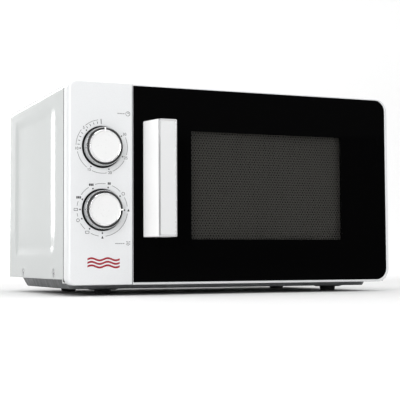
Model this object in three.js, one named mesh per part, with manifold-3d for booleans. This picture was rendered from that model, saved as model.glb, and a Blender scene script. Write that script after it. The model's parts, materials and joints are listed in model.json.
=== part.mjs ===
// A 20 litre countertop microwave oven with a mechanical timer, built as separate pieces.
// Millimetres, +Z up. The origin is on the table under the middle of the oven's box.
// The front faces -Y, the control side is at -X and the door hinges at +X.

import * as THREE from 'three';
import { mergeVertices } from 'three/addons/utils/BufferGeometryUtils.js';
import Module from 'manifold-3d';

const wasm = await Module();
wasm.setup();

// ---------------------------------------------------------------- driving dimensions

const HALF_WIDTH = 220;
const TOP_Z = 255.4;
const HALF_DEPTH = 176;
const GAP = 0.3; // clearance kept between neighbouring pieces
const SHEET = 0.8; // casing steel
const PLATE = 1; // cavity and frame steel
const WALL = 2.4; // moulded plastic

const FRONT_Y = -143; // face of the door glass and of the control panel
const BEZEL_BACK_Y = FRONT_Y + 18.1;
const BEZEL_BOTTOM_Z = 13;
const SPLIT_X = -139.5; // joint between control panel and door
const SPLIT_HALF_GAP = 0.3;

const CASE_FRONT_Y = FRONT_Y + 19.1;
const CASE_BACK_Y = 157.4;
const CASE_BOTTOM_Z = 19.9;
const CASE_RADIUS = 9;
const CASE_INNER_X = HALF_WIDTH - SHEET;

const FRAME_FRONT_Y = -122.9;
const FRAME_BACK_Y = FRAME_FRONT_Y + PLATE;
const CHASSIS_X = CASE_INNER_X - GAP; // outer edge of what slides inside the casing
const CHASSIS_TOP_Z = TOP_Z - SHEET - GAP;
const REAR_FRONT_Y = CASE_BACK_Y - SHEET - GAP - PLATE;

const CAVITY = {
  left: -113, right: 193, bottom: 35, top: 241, front: FRAME_BACK_Y + GAP, back: REAR_FRONT_Y - GAP,
};
const CAVITY_MID_X = (CAVITY.left + CAVITY.right) / 2;

const PAN_FRONT_Y = -115;
const PAN_FLOOR_Z = 8.5;
const PAN_RIM_Z = 21;
const FOOT_TOP_Z = 5.7;
const FOOT_PLACES = [[-151, -60], [173, -60], [-151, 95], [173, 95]];

const SCREW_PLACES = [[-1, -79.3], [-1, 76.3], [1, -79.3], [1, 76.3]];
const SCREW_Z = 26.5;

const DIMPLE_R = 5.5;
const DIMPLE_DEPTH = 2;
const SCREW_HOLE_R = 2.2;
const GLAND_X = -190;
const GLAND_Z = 55;

const KNOB_X = -177.6;
const TIMER_Z = 177.3;
const POWER_Z = 102.3;
const KNOB_WELL_R = 25;
const KNOB_WELL_DEPTH = 6;
const SKIRT_R = 23.8;
const CAP_R = 20.25;
const SHAFT_R = 3;
const KNOB_WELL_BACK_Y = FRONT_Y + KNOB_WELL_DEPTH + WALL;
const KNOB_BORE_END_Y = FRONT_Y - 2;

const DOOR_LEFT_X = SPLIT_X + SPLIT_HALF_GAP;
const GLASS = { left: DOOR_LEFT_X + 0.3, right: 215.6, bottom: 16, top: 253.4, thick: 4, radius: 15 };
const HINGE_X = HALF_WIDTH - 6.8;
const HINGE_Y = BEZEL_BACK_Y - 6.8;
const HINGE_PIN_R = 2;
const HINGE_POCKET_DEPTH = 3.8;
const HINGE_TAB_THICK = 1.6;
const TOP_TAB_Z = TOP_Z - HINGE_POCKET_DEPTH + 0.4;
const BOTTOM_TAB_Z = BEZEL_BOTTOM_Z + HINGE_POCKET_DEPTH - 0.4 - HINGE_TAB_THICK;

const LATCH_X = -131;
const HOOK_PLACES = [73, 203];
const LATCH_TOP_Z = 215;
const SWITCHES = [
  { name: 'primary_switch', z: 204 },
  { name: 'secondary_switch', z: 74 },
  { name: 'monitor_switch', z: 106 },
];
const HANDLE = { left: -126, leftFront: -118, right: -95, bottom: 70, top: 210.3 };
const HANDLE_FACE_Y = -HALF_DEPTH + 1.8;

const TURN_X = CAVITY_MID_X;
const TURN_Y = 17;
const PLATE_R = 122.5;
const ROLLER_R = 6.7;
const ROLLER_TRACK_R = 88;
const ROLLER_AXIS_Z = CAVITY.bottom + GAP + ROLLER_R;

const FAN_X = -167;
const FAN_Z = 190;
const FEED = { front: 0, back: 70, bottom: 125, top: 165 };
const DUCT = { left: -139.5, front: -10, back: 80, bottom: 118, top: 235 };
const YOKE_LEFT_X = -206;
const TUBE_Y = 35;
const TUBE_Z = 195;
const CORE_LEFT_X = -185;
const CORE_RIGHT_X = -135;

// ---------------------------------------------------------------- shape helpers

const AXIS_BASES = {
  x: new THREE.Matrix4().makeBasis(
    new THREE.Vector3(0, 1, 0), new THREE.Vector3(0, 0, 1), new THREE.Vector3(1, 0, 0)),
  y: new THREE.Matrix4().makeBasis(
    new THREE.Vector3(1, 0, 0), new THREE.Vector3(0, 0, 1), new THREE.Vector3(0, -1, 0)),
  z: new THREE.Matrix4(),
};

// A flat outline pushed along an axis from low to high. Along x the outline is in (y, z),
// along y it is in (x, z), and along z it is in (x, y).
function prism(shape, axis, low, high, curveSegments = 2) {
  const depth = high - low;
  const geometry = new THREE.ExtrudeGeometry(shape, { depth, bevelEnabled: false, curveSegments });
  geometry.applyMatrix4(AXIS_BASES[axis]);
  if (axis === 'y') geometry.translate(0, high, 0);
  else geometry.translate(axis === 'x' ? low : 0, 0, axis === 'z' ? low : 0);
  return geometry;
}

function box(x0, x1, y0, y1, z0, z1) {
  const geometry = new THREE.BoxGeometry(x1 - x0, y1 - y0, z1 - z0);
  return geometry.translate((x0 + x1) / 2, (y0 + y1) / 2, (z0 + z1) / 2);
}

function polygon(points) {
  return new THREE.Shape(points.map(([a, b]) => new THREE.Vector2(a, b)));
}

// A rectangle whose corners have their own radii: bottom left, bottom right, top right, top left.
function roundedRect(x0, y0, x1, y1, radii) {
  const [bl, br, tr, tl] = typeof radii === 'number' ? [radii, radii, radii, radii] : radii;
  const shape = new THREE.Shape();
  const corner = (cx, cy, r, start) => {
    if (r > 0) shape.absarc(cx, cy, r, start, start + Math.PI / 2, false);
  };
  shape.moveTo(x0 + bl, y0);
  shape.lineTo(x1 - br, y0);
  corner(x1 - br, y0 + br, br, -Math.PI / 2);
  shape.lineTo(x1, y1 - tr);
  corner(x1 - tr, y1 - tr, tr, 0);
  shape.lineTo(x0 + tl, y1);
  corner(x0 + tl, y1 - tl, tl, Math.PI / 2);
  if (bl > 0) shape.lineTo(x0, y0 + bl);
  corner(x0 + bl, y0 + bl, bl, Math.PI);
  return shape;
}

function disc(cx, cy, r) {
  const shape = new THREE.Shape();
  shape.absarc(cx, cy, r, 0, Math.PI * 2, false);
  return shape;
}

function withHoles(shape, ...holes) {
  shape.holes.push(...holes);
  return shape;
}

// A bar of many flat sides along an axis from low to high; a and b are its place across it.
function rod(axis, a, b, r, low, high, sides = 12) {
  return prism(disc(a, b, r), axis, low, high, sides / 2);
}

// A turned piece: profile points are [radius, height], and height runs along the axis given.
function turned(profile, sides, axis = 'z') {
  const geometry = new THREE.LatheGeometry(profile.map(([r, h]) => new THREE.Vector2(r, h)), sides);
  if (axis === 'z') geometry.rotateX(Math.PI / 2);
  if (axis === 'front') geometry.rotateX(Math.PI);
  if (axis === 'x') geometry.rotateZ(-Math.PI / 2);
  return geometry;
}

// A four-sided frustum with its flat ends across an axis: each end is [a0, a1, b0, b1, place].
function frustum(axis, lowEnd, highEnd) {
  const corners = [];
  for (const [a0, a1, b0, b1, place] of [lowEnd, highEnd]) {
    for (const [a, b] of [[a0, b0], [a1, b0], [a1, b1], [a0, b1]]) {
      corners.push({ x: [place, a, b], y: [a, place, b], z: [a, b, place] }[axis]);
    }
  }
  const faces = [0, 2, 1, 0, 3, 2, 4, 5, 6, 4, 6, 7];
  for (let i = 0; i < 4; i += 1) {
    const j = (i + 1) % 4;
    faces.push(i, j, 4 + j, i, 4 + j, 4 + i);
  }
  const geometry = new THREE.BufferGeometry();
  geometry.setAttribute('position', new THREE.Float32BufferAttribute(corners.flat(), 3));
  geometry.setIndex(axis === 'y' ? faces.reverse() : faces);
  return geometry;
}

function toSolid(geometry) {
  const bare = geometry.clone();
  bare.deleteAttribute('normal');
  bare.deleteAttribute('uv');
  const merged = mergeVertices(bare, 1e-4);
  const vertProperties = new Float32Array(merged.attributes.position.array);
  const triVerts = new Uint32Array(merged.index.array);
  return new wasm.Manifold(new wasm.Mesh({ numProp: 3, vertProperties, triVerts }));
}

function toGeometry(solid) {
  const mesh = solid.getMesh();
  const geometry = new THREE.BufferGeometry();
  geometry.setAttribute('position', new THREE.BufferAttribute(mesh.vertProperties.slice(), 3));
  geometry.setIndex(new THREE.BufferAttribute(mesh.triVerts.slice(), 1));
  geometry.computeVertexNormals();
  return geometry;
}

function joined(...geometries) {
  return toGeometry(geometries.map(toSolid).reduce((all, next) => all.add(next)));
}

function cut(geometry, ...tools) {
  return toGeometry(tools.map(toSolid).reduce((rest, tool) => rest.subtract(tool), toSolid(geometry)));
}

function common(a, b) {
  return toGeometry(toSolid(a).intersect(toSolid(b)));
}

// ---------------------------------------------------------------- materials and scene graph

function finish(color, roughness, metalness = 0, opacity = 1) {
  return new THREE.MeshStandardMaterial({ color, roughness, metalness, opacity, transparent: opacity < 1 });
}

const MATERIALS = {
  casePaint: finish(0xe6e7e8, 0.35),
  cavityPaint: finish(0xd9dad8, 0.4),
  steel: finish(0x8d9094, 0.45, 0.9),
  panelPlastic: finish(0xdfe1e3, 0.4),
  whitePlastic: finish(0xf2f2f1, 0.35),
  blackPlastic: finish(0x222224, 0.5),
  greyPlastic: finish(0x77797c, 0.55),
  blackGlass: finish(0x060606, 0.05),
  clearGlass: finish(0xe4eeee, 0.05, 0, 0.4),
  chrome: finish(0xc9cbce, 0.12, 1),
  rubber: finish(0x1d1d1e, 0.8),
  copper: finish(0x9c5a34, 0.4, 0.8),
  mica: finish(0xb9b4a2, 0.7),
  board: finish(0xb48a4e, 0.6),
  aluminium: finish(0xb7babd, 0.35, 0.9),
};

const oven = new THREE.Group();

function add(name, geometry, material) {
  const mesh = new THREE.Mesh(geometry, MATERIALS[material]);
  mesh.name = name;
  oven.add(mesh);
  return mesh;
}

// ---------------------------------------------------------------- casing and chassis

// The painted wrapper: top and both sides, with a hem along the bottom and a flange turned in
// round the back. Each side has a stamped field and two dimples that sink its screws.
function makeOuterCase() {
  const flange = 12;
  const hem = 8;
  const outline = (inset) => {
    const x = HALF_WIDTH - inset;
    const r = Math.max(CASE_RADIUS - inset, 1);
    return roundedRect(-x, CASE_BOTTOM_Z + inset, x, TOP_Z - inset, [0, 0, r, r]);
  };
  const tools = [
    prism(outline(SHEET), 'y', CASE_FRONT_Y - 1, CASE_BACK_Y - SHEET, 3),
    box(flange - HALF_WIDTH, HALF_WIDTH - flange, CASE_BACK_Y - 2, CASE_BACK_Y + 1, 0, TOP_Z - flange),
    box(hem - HALF_WIDTH, HALF_WIDTH - hem, CASE_FRONT_Y - 1, CASE_BACK_Y + 1, 0, CASE_BOTTOM_Z + 2),
    box(-CASE_INNER_X, CASE_INNER_X, CASE_FRONT_Y - 1, PAN_FRONT_Y, 0, CASE_BOTTOM_Z + 2),
  ];
  const shellTools = tools.length;
  const extras = [];
  for (const side of [-1, 1]) {
    extras.push(stampedField(side, SHEET));
    tools.push(stampedField(side, 0));
  }
  for (const [side, y] of SCREW_PLACES) {
    extras.push(sideRod(side, y, DIMPLE_R + SHEET, 0.1, DIMPLE_DEPTH + SHEET));
    tools.push(sideRod(side, y, DIMPLE_R, -1, DIMPLE_DEPTH));
    tools.push(sideRod(side, y, SCREW_HOLE_R, -1, DIMPLE_DEPTH + 2));
  }
  const shell = cut(prism(outline(0), 'y', CASE_FRONT_Y, CASE_BACK_Y, 3), ...tools.slice(0, shellTools));
  return cut(joined(shell, ...extras), ...tools.slice(shellTools));
}

// A shallow rectangle pressed into a side wall, with a long slope at its front edge.
function stampedField(side, sheet) {
  const field = { front: -91, back: 125, bottom: 48, top: 235, frontSlope: 34, slope: 10, depth: 2.4 };
  const face = [field.front, field.back, field.bottom, field.top, side * (HALF_WIDTH - sheet / 2)];
  const floor = [
    field.front + field.frontSlope, field.back - field.slope,
    field.bottom + field.slope, field.top - field.slope,
    side * (HALF_WIDTH - field.depth - sheet),
  ];
  return side < 0 ? frustum('x', face, floor) : frustum('x', floor, face);
}

// A round bar across a side wall; depths are measured inwards from the wall's outer face.
function sideRod(side, y, r, outerDepth, innerDepth, sides = 12) {
  const ends = [side * (HALF_WIDTH - outerDepth), side * (HALF_WIDTH - innerDepth)];
  return rod('x', y, SCREW_Z, r, Math.min(...ends), Math.max(...ends), sides);
}

function makeCaseScrew(side, y) {
  const head = sideRod(side, y, 4.2, 0.1, 1.7);
  const shank = sideRod(side, y, 1.8, 1.7, 9);
  const slotEnds = [side * (HALF_WIDTH + 1), side * (HALF_WIDTH - 0.9)];
  const [x0, x1] = [Math.min(...slotEnds), Math.max(...slotEnds)];
  const slot = (halfY, halfZ) => box(x0, x1, y - halfY, y + halfY, SCREW_Z - halfZ, SCREW_Z + halfZ);
  return cut(joined(head, shank), slot(2.4, 0.5), slot(0.5, 2.4));
}

// The bottom tray: a rim with turned-up flanges, a sunk floor and a round boss at each foot.
function makeBasePan() {
  const flangeX = CASE_INNER_X - DIMPLE_DEPTH - GAP;
  const backY = REAR_FRONT_Y - GAP;
  const flangeTop = 34;
  const dish = (inset) => frustum('z',
    [-204 + inset, 204 - inset, -108 + inset, 122 - inset, PAN_FLOOR_Z + inset],
    [-209.5 + inset, 209.5 - inset, -113 + inset, 138 - inset, PAN_RIM_Z + PLATE]);
  const boss = (x, y, inset) => turned([
    [0, FOOT_TOP_Z + inset], [13 - inset, FOOT_TOP_Z + inset],
    [22.5 - inset, PAN_FLOOR_Z + PLATE], [0, PAN_FLOOR_Z + PLATE],
  ], 12).translate(x, y, inset ? 0.01 : 0);
  const extras = FOOT_PLACES.map(([x, y]) => boss(x, y, 0));
  const tools = FOOT_PLACES.map(([x, y]) => boss(x, y, PLATE));
  for (const [x, y] of FOOT_PLACES) tools.push(rod('z', x, y, 3.4, 0, 20, 8));
  for (const [side, y] of SCREW_PLACES) tools.push(sideRod(side, y, SCREW_HOLE_R, 0, 8));
  const tray = cut(
    joined(box(-flangeX, flangeX, PAN_FRONT_Y, backY, PAN_RIM_Z, flangeTop), dish(0)),
    box(PLATE - flangeX, flangeX - PLATE, PAN_FRONT_Y - 1, backY - PLATE, PAN_RIM_Z + PLATE, flangeTop + 1),
    dish(PLATE),
  );
  return cut(joined(tray, ...extras), ...tools);
}

// A rubber foot that snaps into its boss: pad below, neck through the hole, barb above.
function makeFoot(x, y) {
  const top = FOOT_TOP_Z - GAP;
  const profile = [
    [0, 0], [9.3, 0], [10, 0.8], [10.5, top], [3, top],
    [3, FOOT_TOP_Z + PLATE + GAP], [4.6, FOOT_TOP_Z + PLATE + GAP], [3.2, 8.6], [0, 8.6],
  ];
  return turned(profile, 12).translate(x, y, 0);
}

// The back sheet, stamped out to deepen the cavity, with air slots beside it for the fan.
function makeRearPanel() {
  const back = REAR_FRONT_Y + PLATE;
  const bulge = (inset) => frustum('y',
    [CAVITY.left + 4 + inset, CAVITY.right - 4 - inset, 43 + inset, 233 - inset, back - 0.5 - inset * 1.2],
    [CAVITY.left + 14 + inset, CAVITY.right - 14 - inset, 53 + inset, 223 - inset, HALF_DEPTH - inset]);
  const sheet = prism(
    roundedRect(-CHASSIS_X, PAN_RIM_Z, CHASSIS_X, CHASSIS_TOP_Z, [0, 0, 10, 10]), 'y', REAR_FRONT_Y, back);
  const tools = [bulge(PLATE), rod('y', GLAND_X, GLAND_Z, 7, back - 3, back + 1, 16)];
  const rows = 9;
  const columns = 3;
  for (let row = 0; row < rows; row += 1) {
    for (let column = 0; column < columns; column += 1) {
      const x = FAN_X - 27 + column * 27;
      const z = FAN_Z - 36 + row * 9;
      tools.push(box(x - 11, x + 11, back - 3, back + 1, z - 1.6, z + 1.6));
    }
  }
  return cut(joined(sheet, bulge(0)), ...tools);
}

// The sleeve that lines the cable hole in the back sheet.
function makeCordGland() {
  const profile = [[4, -8], [6.7, -8], [6.7, GAP], [9.5, GAP], [9.5, 2.6], [8, 4.4], [4, 4.4], [4, -8]];
  return turned(profile, 16, 'y').translate(GLAND_X, REAR_FRONT_Y + PLATE, GLAND_Z);
}

// The welded front plate: cavity mouth, window for the timer, slots for the door hooks, and
// notches at the right-hand corners for the hinge tabs.
function makeFrontFrame() {
  const rim = 6;
  const bottom = 15;
  const outline = (inset) => roundedRect(
    inset - CHASSIS_X, bottom + inset, CHASSIS_X - inset, CHASSIS_TOP_Z - inset, [1, 1, 7.6, 7.6]);
  const plate = withHoles(
    outline(0),
    roundedRect(CAVITY.left, CAVITY.bottom, CAVITY.right, CAVITY.top, 0),
    roundedRect(KNOB_X - 28.7, 74.5, KNOB_X + 28.8, 204.5, 2),
    ...HOOK_PLACES.map((z) => roundedRect(LATCH_X - 3.5, z - 10, LATCH_X + 3.5, z + 12, 0)),
  );
  const edge = withHoles(outline(0), outline(PLATE));
  const notch = (z0, z1) => box(204, HALF_WIDTH, FRAME_FRONT_Y - 1, FRAME_BACK_Y + rim + 1, z0, z1);
  return cut(
    joined(
      prism(plate, 'y', FRAME_FRONT_Y, FRAME_BACK_Y, 3),
      prism(edge, 'y', FRAME_BACK_Y, FRAME_BACK_Y + rim, 3),
    ),
    notch(TOP_TAB_Z - 0.5, TOP_Z),
    notch(bottom - 1, BOTTOM_TAB_Z + HINGE_TAB_THICK + 0.5),
  );
}

// ---------------------------------------------------------------- cavity and microwave feed

function makeCavityFloor() {
  const sheet = roundedRect(CAVITY.left + GAP, CAVITY.front, CAVITY.right - GAP, CAVITY.back, 0);
  sheet.holes.push(disc(TURN_X, TURN_Y, 6));
  return prism(sheet, 'z', CAVITY.bottom - PLATE, CAVITY.bottom, 8);
}

function makeCavityCeiling() {
  const { left, right, front, back, top } = CAVITY;
  return box(left + GAP, right - GAP, front, back, top, top + PLATE);
}

function makeCavityLeftWall() {
  const sheet = roundedRect(CAVITY.front, CAVITY.bottom - PLATE, CAVITY.back, CAVITY.top + PLATE, 0);
  sheet.holes.push(roundedRect(FEED.front, FEED.bottom, FEED.back, FEED.top, 0));
  return prism(sheet, 'x', CAVITY.left - PLATE, CAVITY.left);
}

function makeCavityRightWall() {
  const { right, front, back, bottom, top } = CAVITY;
  return box(right, right + PLATE, front, back, bottom - PLATE, top + PLATE);
}

function makeWaveguide() {
  const duct = (inset, x0, x1) => box(
    x0, x1, DUCT.front + inset, DUCT.back - inset, DUCT.bottom + inset, DUCT.top - inset);
  const right = CAVITY.left - PLATE - GAP;
  return cut(
    duct(0, DUCT.left, right),
    duct(PLATE, DUCT.left + PLATE, right + 1),
    rod('x', TUBE_Y, TUBE_Z, 11, DUCT.left - 1, DUCT.left + 3, 12),
  );
}

function makeWaveguideCover() {
  const margin = 8;
  const sheet = roundedRect(
    FEED.front - margin, FEED.bottom - margin, FEED.back + margin, FEED.top + margin, 3);
  return prism(sheet, 'x', CAVITY.left + GAP, CAVITY.left + GAP + 0.5, 1);
}

// The magnetron's steel yoke: a square tube that air blows through, with a hole for the antenna.
function makeMagnetronYoke() {
  const wall = 1.6;
  const right = DUCT.left - GAP;
  const tube = withHoles(
    roundedRect(YOKE_LEFT_X, 150, right, 240, 0),
    roundedRect(YOKE_LEFT_X + wall, 150 + wall, right - wall, 240 - wall, 0),
  );
  const antennaHole = rod('x', TUBE_Y, TUBE_Z, 11, right - 3, right + 1, 12);
  return cut(prism(tube, 'y', TUBE_Y - 40, TUBE_Y + 40), antennaHole);
}

// The tube itself: anode block, cooling fins, ring magnets at both ends and the antenna.
function makeMagnetronTube() {
  const left = YOKE_LEFT_X + 2;
  const right = DUCT.left - GAP - 2;
  const along = (r, x0, x1) => rod('x', TUBE_Y, TUBE_Z, r, x0, x1, 12);
  const pieces = [
    along(19, left + 1, right - 1),
    along(27, left, left + 11),
    along(27, right - 11, right),
    along(8, right - 2, -121),
  ];
  const fins = 5;
  for (let i = 0; i < fins; i += 1) {
    const x = left + 16 + (i * (right - left - 32)) / (fins - 1);
    pieces.push(box(x - 0.5, x + 0.5, TUBE_Y - 36, TUBE_Y + 36, TUBE_Z - 38, TUBE_Z + 38));
  }
  return joined(...pieces);
}

// ---------------------------------------------------------------- electrical pieces

// Laminated core with three legs; the winding sits round the middle one.
function makeTransformerCore() {
  const window = (y0, y1) => box(CORE_LEFT_X - 1, CORE_RIGHT_X + 1, y0, y1, 23.8, 67.8);
  return cut(box(CORE_LEFT_X, CORE_RIGHT_X, -75, 15, 9.8, 81.8), window(-62, -45), window(-15, 2));
}

function makeTransformerCoil() {
  const turns = roundedRect(CORE_LEFT_X - 10, -61.7, CORE_RIGHT_X + 10, 1.7, 6);
  turns.holes.push(roundedRect(CORE_LEFT_X - GAP, -45.3, CORE_RIGHT_X + GAP, -14.7, 0));
  return prism(turns, 'z', 24.1, 67.5);
}

function makeCapacitor() {
  const can = prism(roundedRect(-190, 45, -157, 97, 14), 'z', 9.8, 88, 3);
  const tag = (y) => box(-176.5, -170.5, y - 0.5, y + 0.5, 87, 97);
  return joined(can, tag(63), tag(66.5), tag(76), tag(79.5));
}

function makeFanShroud() {
  const sheet = withHoles(roundedRect(-216, 136, -118, 248, 3), disc(FAN_X, FAN_Z, 45));
  const duct = withHoles(disc(FAN_X, FAN_Z, 46.5), disc(FAN_X, FAN_Z, 45));
  return joined(prism(sheet, 'y', 128, 130, 12), prism(duct, 'y', 110, 128.5, 12));
}

function makeFanMotor() {
  const stack = box(FAN_X - 25, FAN_X + 25, 136, 150, FAN_Z - 24, FAN_Z + 18);
  const coil = box(FAN_X - 14, FAN_X + 14, 132, 153, FAN_Z - 40, FAN_Z - 23);
  const bearing = rod('y', FAN_X, FAN_Z, 9, 131.6, 154, 12);
  return cut(joined(stack, coil, bearing), rod('y', FAN_X, FAN_Z, 2.8, 120, 146, 8));
}

// Hub, spindle and pitched blades in one moulding.
function makeFanBlade() {
  const blades = 5;
  const pieces = [rod('y', FAN_X, FAN_Z, 11, 112, 127, 12), rod('y', FAN_X, FAN_Z, 2.2, 126, 145, 8)];
  for (let i = 0; i < blades; i += 1) {
    const blade = new THREE.BoxGeometry(32, 1.6, 19);
    blade.rotateX(0.6).translate(26, 119, 0).rotateY((i * Math.PI * 2) / blades);
    pieces.push(blade.translate(FAN_X, 0, FAN_Z));
  }
  return joined(...pieces);
}

function makeFilterBoard() {
  const board = box(-208, -146, 150.5, 152, 72, 126);
  const fuse = rod('z', -200, 148, 3, 78, 100, 8);
  const choke = rod('y', -168, 100, 12, 138, 151, 12);
  const bobbin = box(-192, -184, 140, 151, 104, 122);
  const fuseClips = [79, 96].map((z) => box(-203, -197, 147, 151, z, z + 3));
  return joined(board, ...fuseClips, fuse, choke, bobbin);
}

function makeLampBulb() {
  const profile = [[0, 0], [7, 0], [7, 12], [10, 17], [10, 32], [6, 38.5], [0, 40]];
  return turned(profile, 12, 'y').translate(-127, -62, 222);
}

// Clockwork timer and power switch in one housing, with a bell screwed on behind.
function makeTimerUnit() {
  const front = KNOB_WELL_BACK_Y + GAP;
  return cut(
    joined(
      box(KNOB_X - 27, KNOB_X + 27, front, -106, POWER_Z - 26, TIMER_Z + 26),
      box(KNOB_X - 31, KNOB_X + 31, front, front + 1.5, POWER_Z - 31, TIMER_Z + 31),
    ),
    rod('y', KNOB_X, TIMER_Z, SHAFT_R + GAP, front - 1, front + 8, 8),
    rod('y', KNOB_X, POWER_Z, SHAFT_R + GAP, front - 1, front + 8, 8),
  );
}

function makeTimerBell() {
  const profile = [[0, 0], [13, 0], [14, 2], [11, 7.5], [5, 10], [0, 10.4]];
  return turned(profile, 16, 'y').translate(KNOB_X, -105.7, TIMER_Z);
}

function makeKnobShaft(z) {
  return rod('y', KNOB_X, z, SHAFT_R, KNOB_BORE_END_Y + GAP, KNOB_WELL_BACK_Y + 7, 8);
}

// The moulding that carries the door switches, with a ledge below each hook.
function makeInterlockBoard() {
  const ledge = (z) => box(-136, -120, -117, -112, z - 14, z - 8.5);
  const switchPegs = SWITCHES.map(({ z }) => box(-125.4, -120, -99, -94, z - 2, z + 2));
  const board = box(-121, -117.3, FRAME_BACK_Y + 6.6, -80, 55, 222);
  return joined(board, ...HOOK_PLACES.map(ledge), ...switchPegs);
}

function makeSwitch(z) {
  const terminals = [-9, 0, 9].map((dz) => box(-131.1, -130.7, -89, -82, z + dz - 2.4, z + dz + 2.4));
  return joined(box(-136, -125.7, -104.4, -88.4, z - 14, z + 14), ...terminals);
}

// ---------------------------------------------------------------- control panel and knobs

function makeControlPanel() {
  const right = SPLIT_X - SPLIT_HALF_GAP;
  const face = roundedRect(-HALF_WIDTH, BEZEL_BOTTOM_Z, right, TOP_Z, [9, 1, 1, 9]);
  const plan = roundedRect(-HALF_WIDTH, FRONT_Y, right, BEZEL_BACK_Y, [5, 1, 0, 0]);
  const block = common(prism(face, 'y', FRONT_Y - 1, BEZEL_BACK_Y + 1, 3), prism(plan, 'z', 0, 300, 2));
  const inside = roundedRect(
    WALL - HALF_WIDTH, BEZEL_BOTTOM_Z + WALL, right - WALL, TOP_Z - WALL, [6, 1, 1, 6]);
  const hollow = prism(inside, 'y', FRONT_Y + WALL, BEZEL_BACK_Y + 1);
  const well = (z) => rod('y', KNOB_X, z, KNOB_WELL_R + WALL, FRONT_Y + 1, KNOB_WELL_BACK_Y, 24);
  const wells = [TIMER_Z, POWER_Z].map(well);
  const holes = [TIMER_Z, POWER_Z].flatMap((z) => [
    rod('y', KNOB_X, z, KNOB_WELL_R, FRONT_Y - 1, FRONT_Y + KNOB_WELL_DEPTH, 24),
    rod('y', KNOB_X, z, 4.5, FRONT_Y, KNOB_WELL_BACK_Y + 1, 8),
  ]);
  return cut(joined(cut(block, hollow), ...wells), ...holes);
}

// The bright skirt of a knob, with the blind bore for its shaft.
function makeKnobSkirt(z) {
  const bore = FRONT_Y - KNOB_BORE_END_Y;
  const profile = [
    [0, bore], [SHAFT_R + GAP, bore], [SHAFT_R + GAP, -4.5], [SKIRT_R, -4.5], [SKIRT_R, 0],
    [22.8, 9.8], [22.2, 10.6], [CAP_R + GAP, 10.6], [CAP_R + GAP, 4.7], [0, 4.7],
  ];
  return turned(profile, 28, 'front').translate(KNOB_X, FRONT_Y, z);
}

// The white cap: raised rim, dished middle, and a pointer notch cut in the rim.
function makeKnobCap(z, pointerAngle) {
  const profile = [
    [0, 5], [CAP_R, 5], [CAP_R, 11.2], [19.4, 12.2], [16.5, 12.2], [14, 11.4], [0, 11],
  ];
  const pointer = box(-0.9, 0.9, -14, -10, 15.5, 22).rotateY(-pointerAngle);
  return cut(turned(profile, 28, 'front'), pointer).translate(KNOB_X, FRONT_Y, z);
}

// ---------------------------------------------------------------- turntable

function makeTurntableMotor() {
  const can = rod('z', TURN_X, TURN_Y, 25, 12, 27, 12);
  return cut(joined(can, rod('z', TURN_X, TURN_Y, 6, 26, 31, 8)), rod('z', TURN_X, TURN_Y, 3.3, 20, 40, 8));
}

// The driver: a stem through the cavity floor and three lobes that key into the glass plate.
function makeTurntableCoupler() {
  const lobes = 3;
  const pieces = [
    rod('z', TURN_X, TURN_Y, 3, 21, 37, 8),
    rod('z', TURN_X, TURN_Y, 9, CAVITY.bottom + 1.2, 46, 8),
  ];
  for (let i = 0; i < lobes; i += 1) {
    const lobe = box(0, 15, -3.5, 3.5, CAVITY.bottom + 4, 46);
    pieces.push(lobe.rotateZ((i * Math.PI * 2) / lobes).translate(TURN_X, TURN_Y, 0));
  }
  return joined(...pieces);
}

function rollerAngle(index) {
  return Math.PI / 2 + (index * Math.PI * 2) / 3;
}

// A flat plastic ring with a stub axle for each roller.
function makeRollerRing() {
  const hoop = withHoles(disc(TURN_X, TURN_Y, 80), disc(TURN_X, TURN_Y, 72));
  const pieces = [prism(hoop, 'z', ROLLER_AXIS_Z - 2.5, ROLLER_AXIS_Z + 2.5, 12)];
  for (let i = 0; i < 3; i += 1) {
    const axle = rod('x', 0, ROLLER_AXIS_Z, 1.5, 78, ROLLER_TRACK_R + 5.2, 8);
    pieces.push(axle.rotateZ(rollerAngle(i)).translate(TURN_X, TURN_Y, 0));
  }
  return joined(...pieces);
}

function makeRoller(index) {
  const half = 3.8;
  const bore = 1.5 + GAP;
  const r = ROLLER_R;
  const profile = [
    [bore, -half], [r - 0.8, -half], [r, -half + 0.8],
    [r, half - 0.8], [r - 0.8, half], [bore, half], [bore, -half],
  ];
  const wheel = turned(profile, 14, 'x').translate(ROLLER_TRACK_R, 0, 0);
  return wheel.rotateZ(rollerAngle(index)).translate(TURN_X, TURN_Y, ROLLER_AXIS_Z);
}

// The glass plate: flat in the middle and swept up to a rim.
function makeGlassTurntable() {
  const under = ROLLER_AXIS_Z + ROLLER_R + GAP;
  const profile = [
    [0, 0], [101, 0], [110, 1.6], [118, 5.5], [PLATE_R, 9.6],
    [120.8, 11], [116, 8.4], [108, 5.2], [100, 4], [0, 4],
  ];
  return turned(profile.map(([r, h]) => [r, h + under]), 40).translate(TURN_X, TURN_Y, 0);
}

// ---------------------------------------------------------------- door

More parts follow.
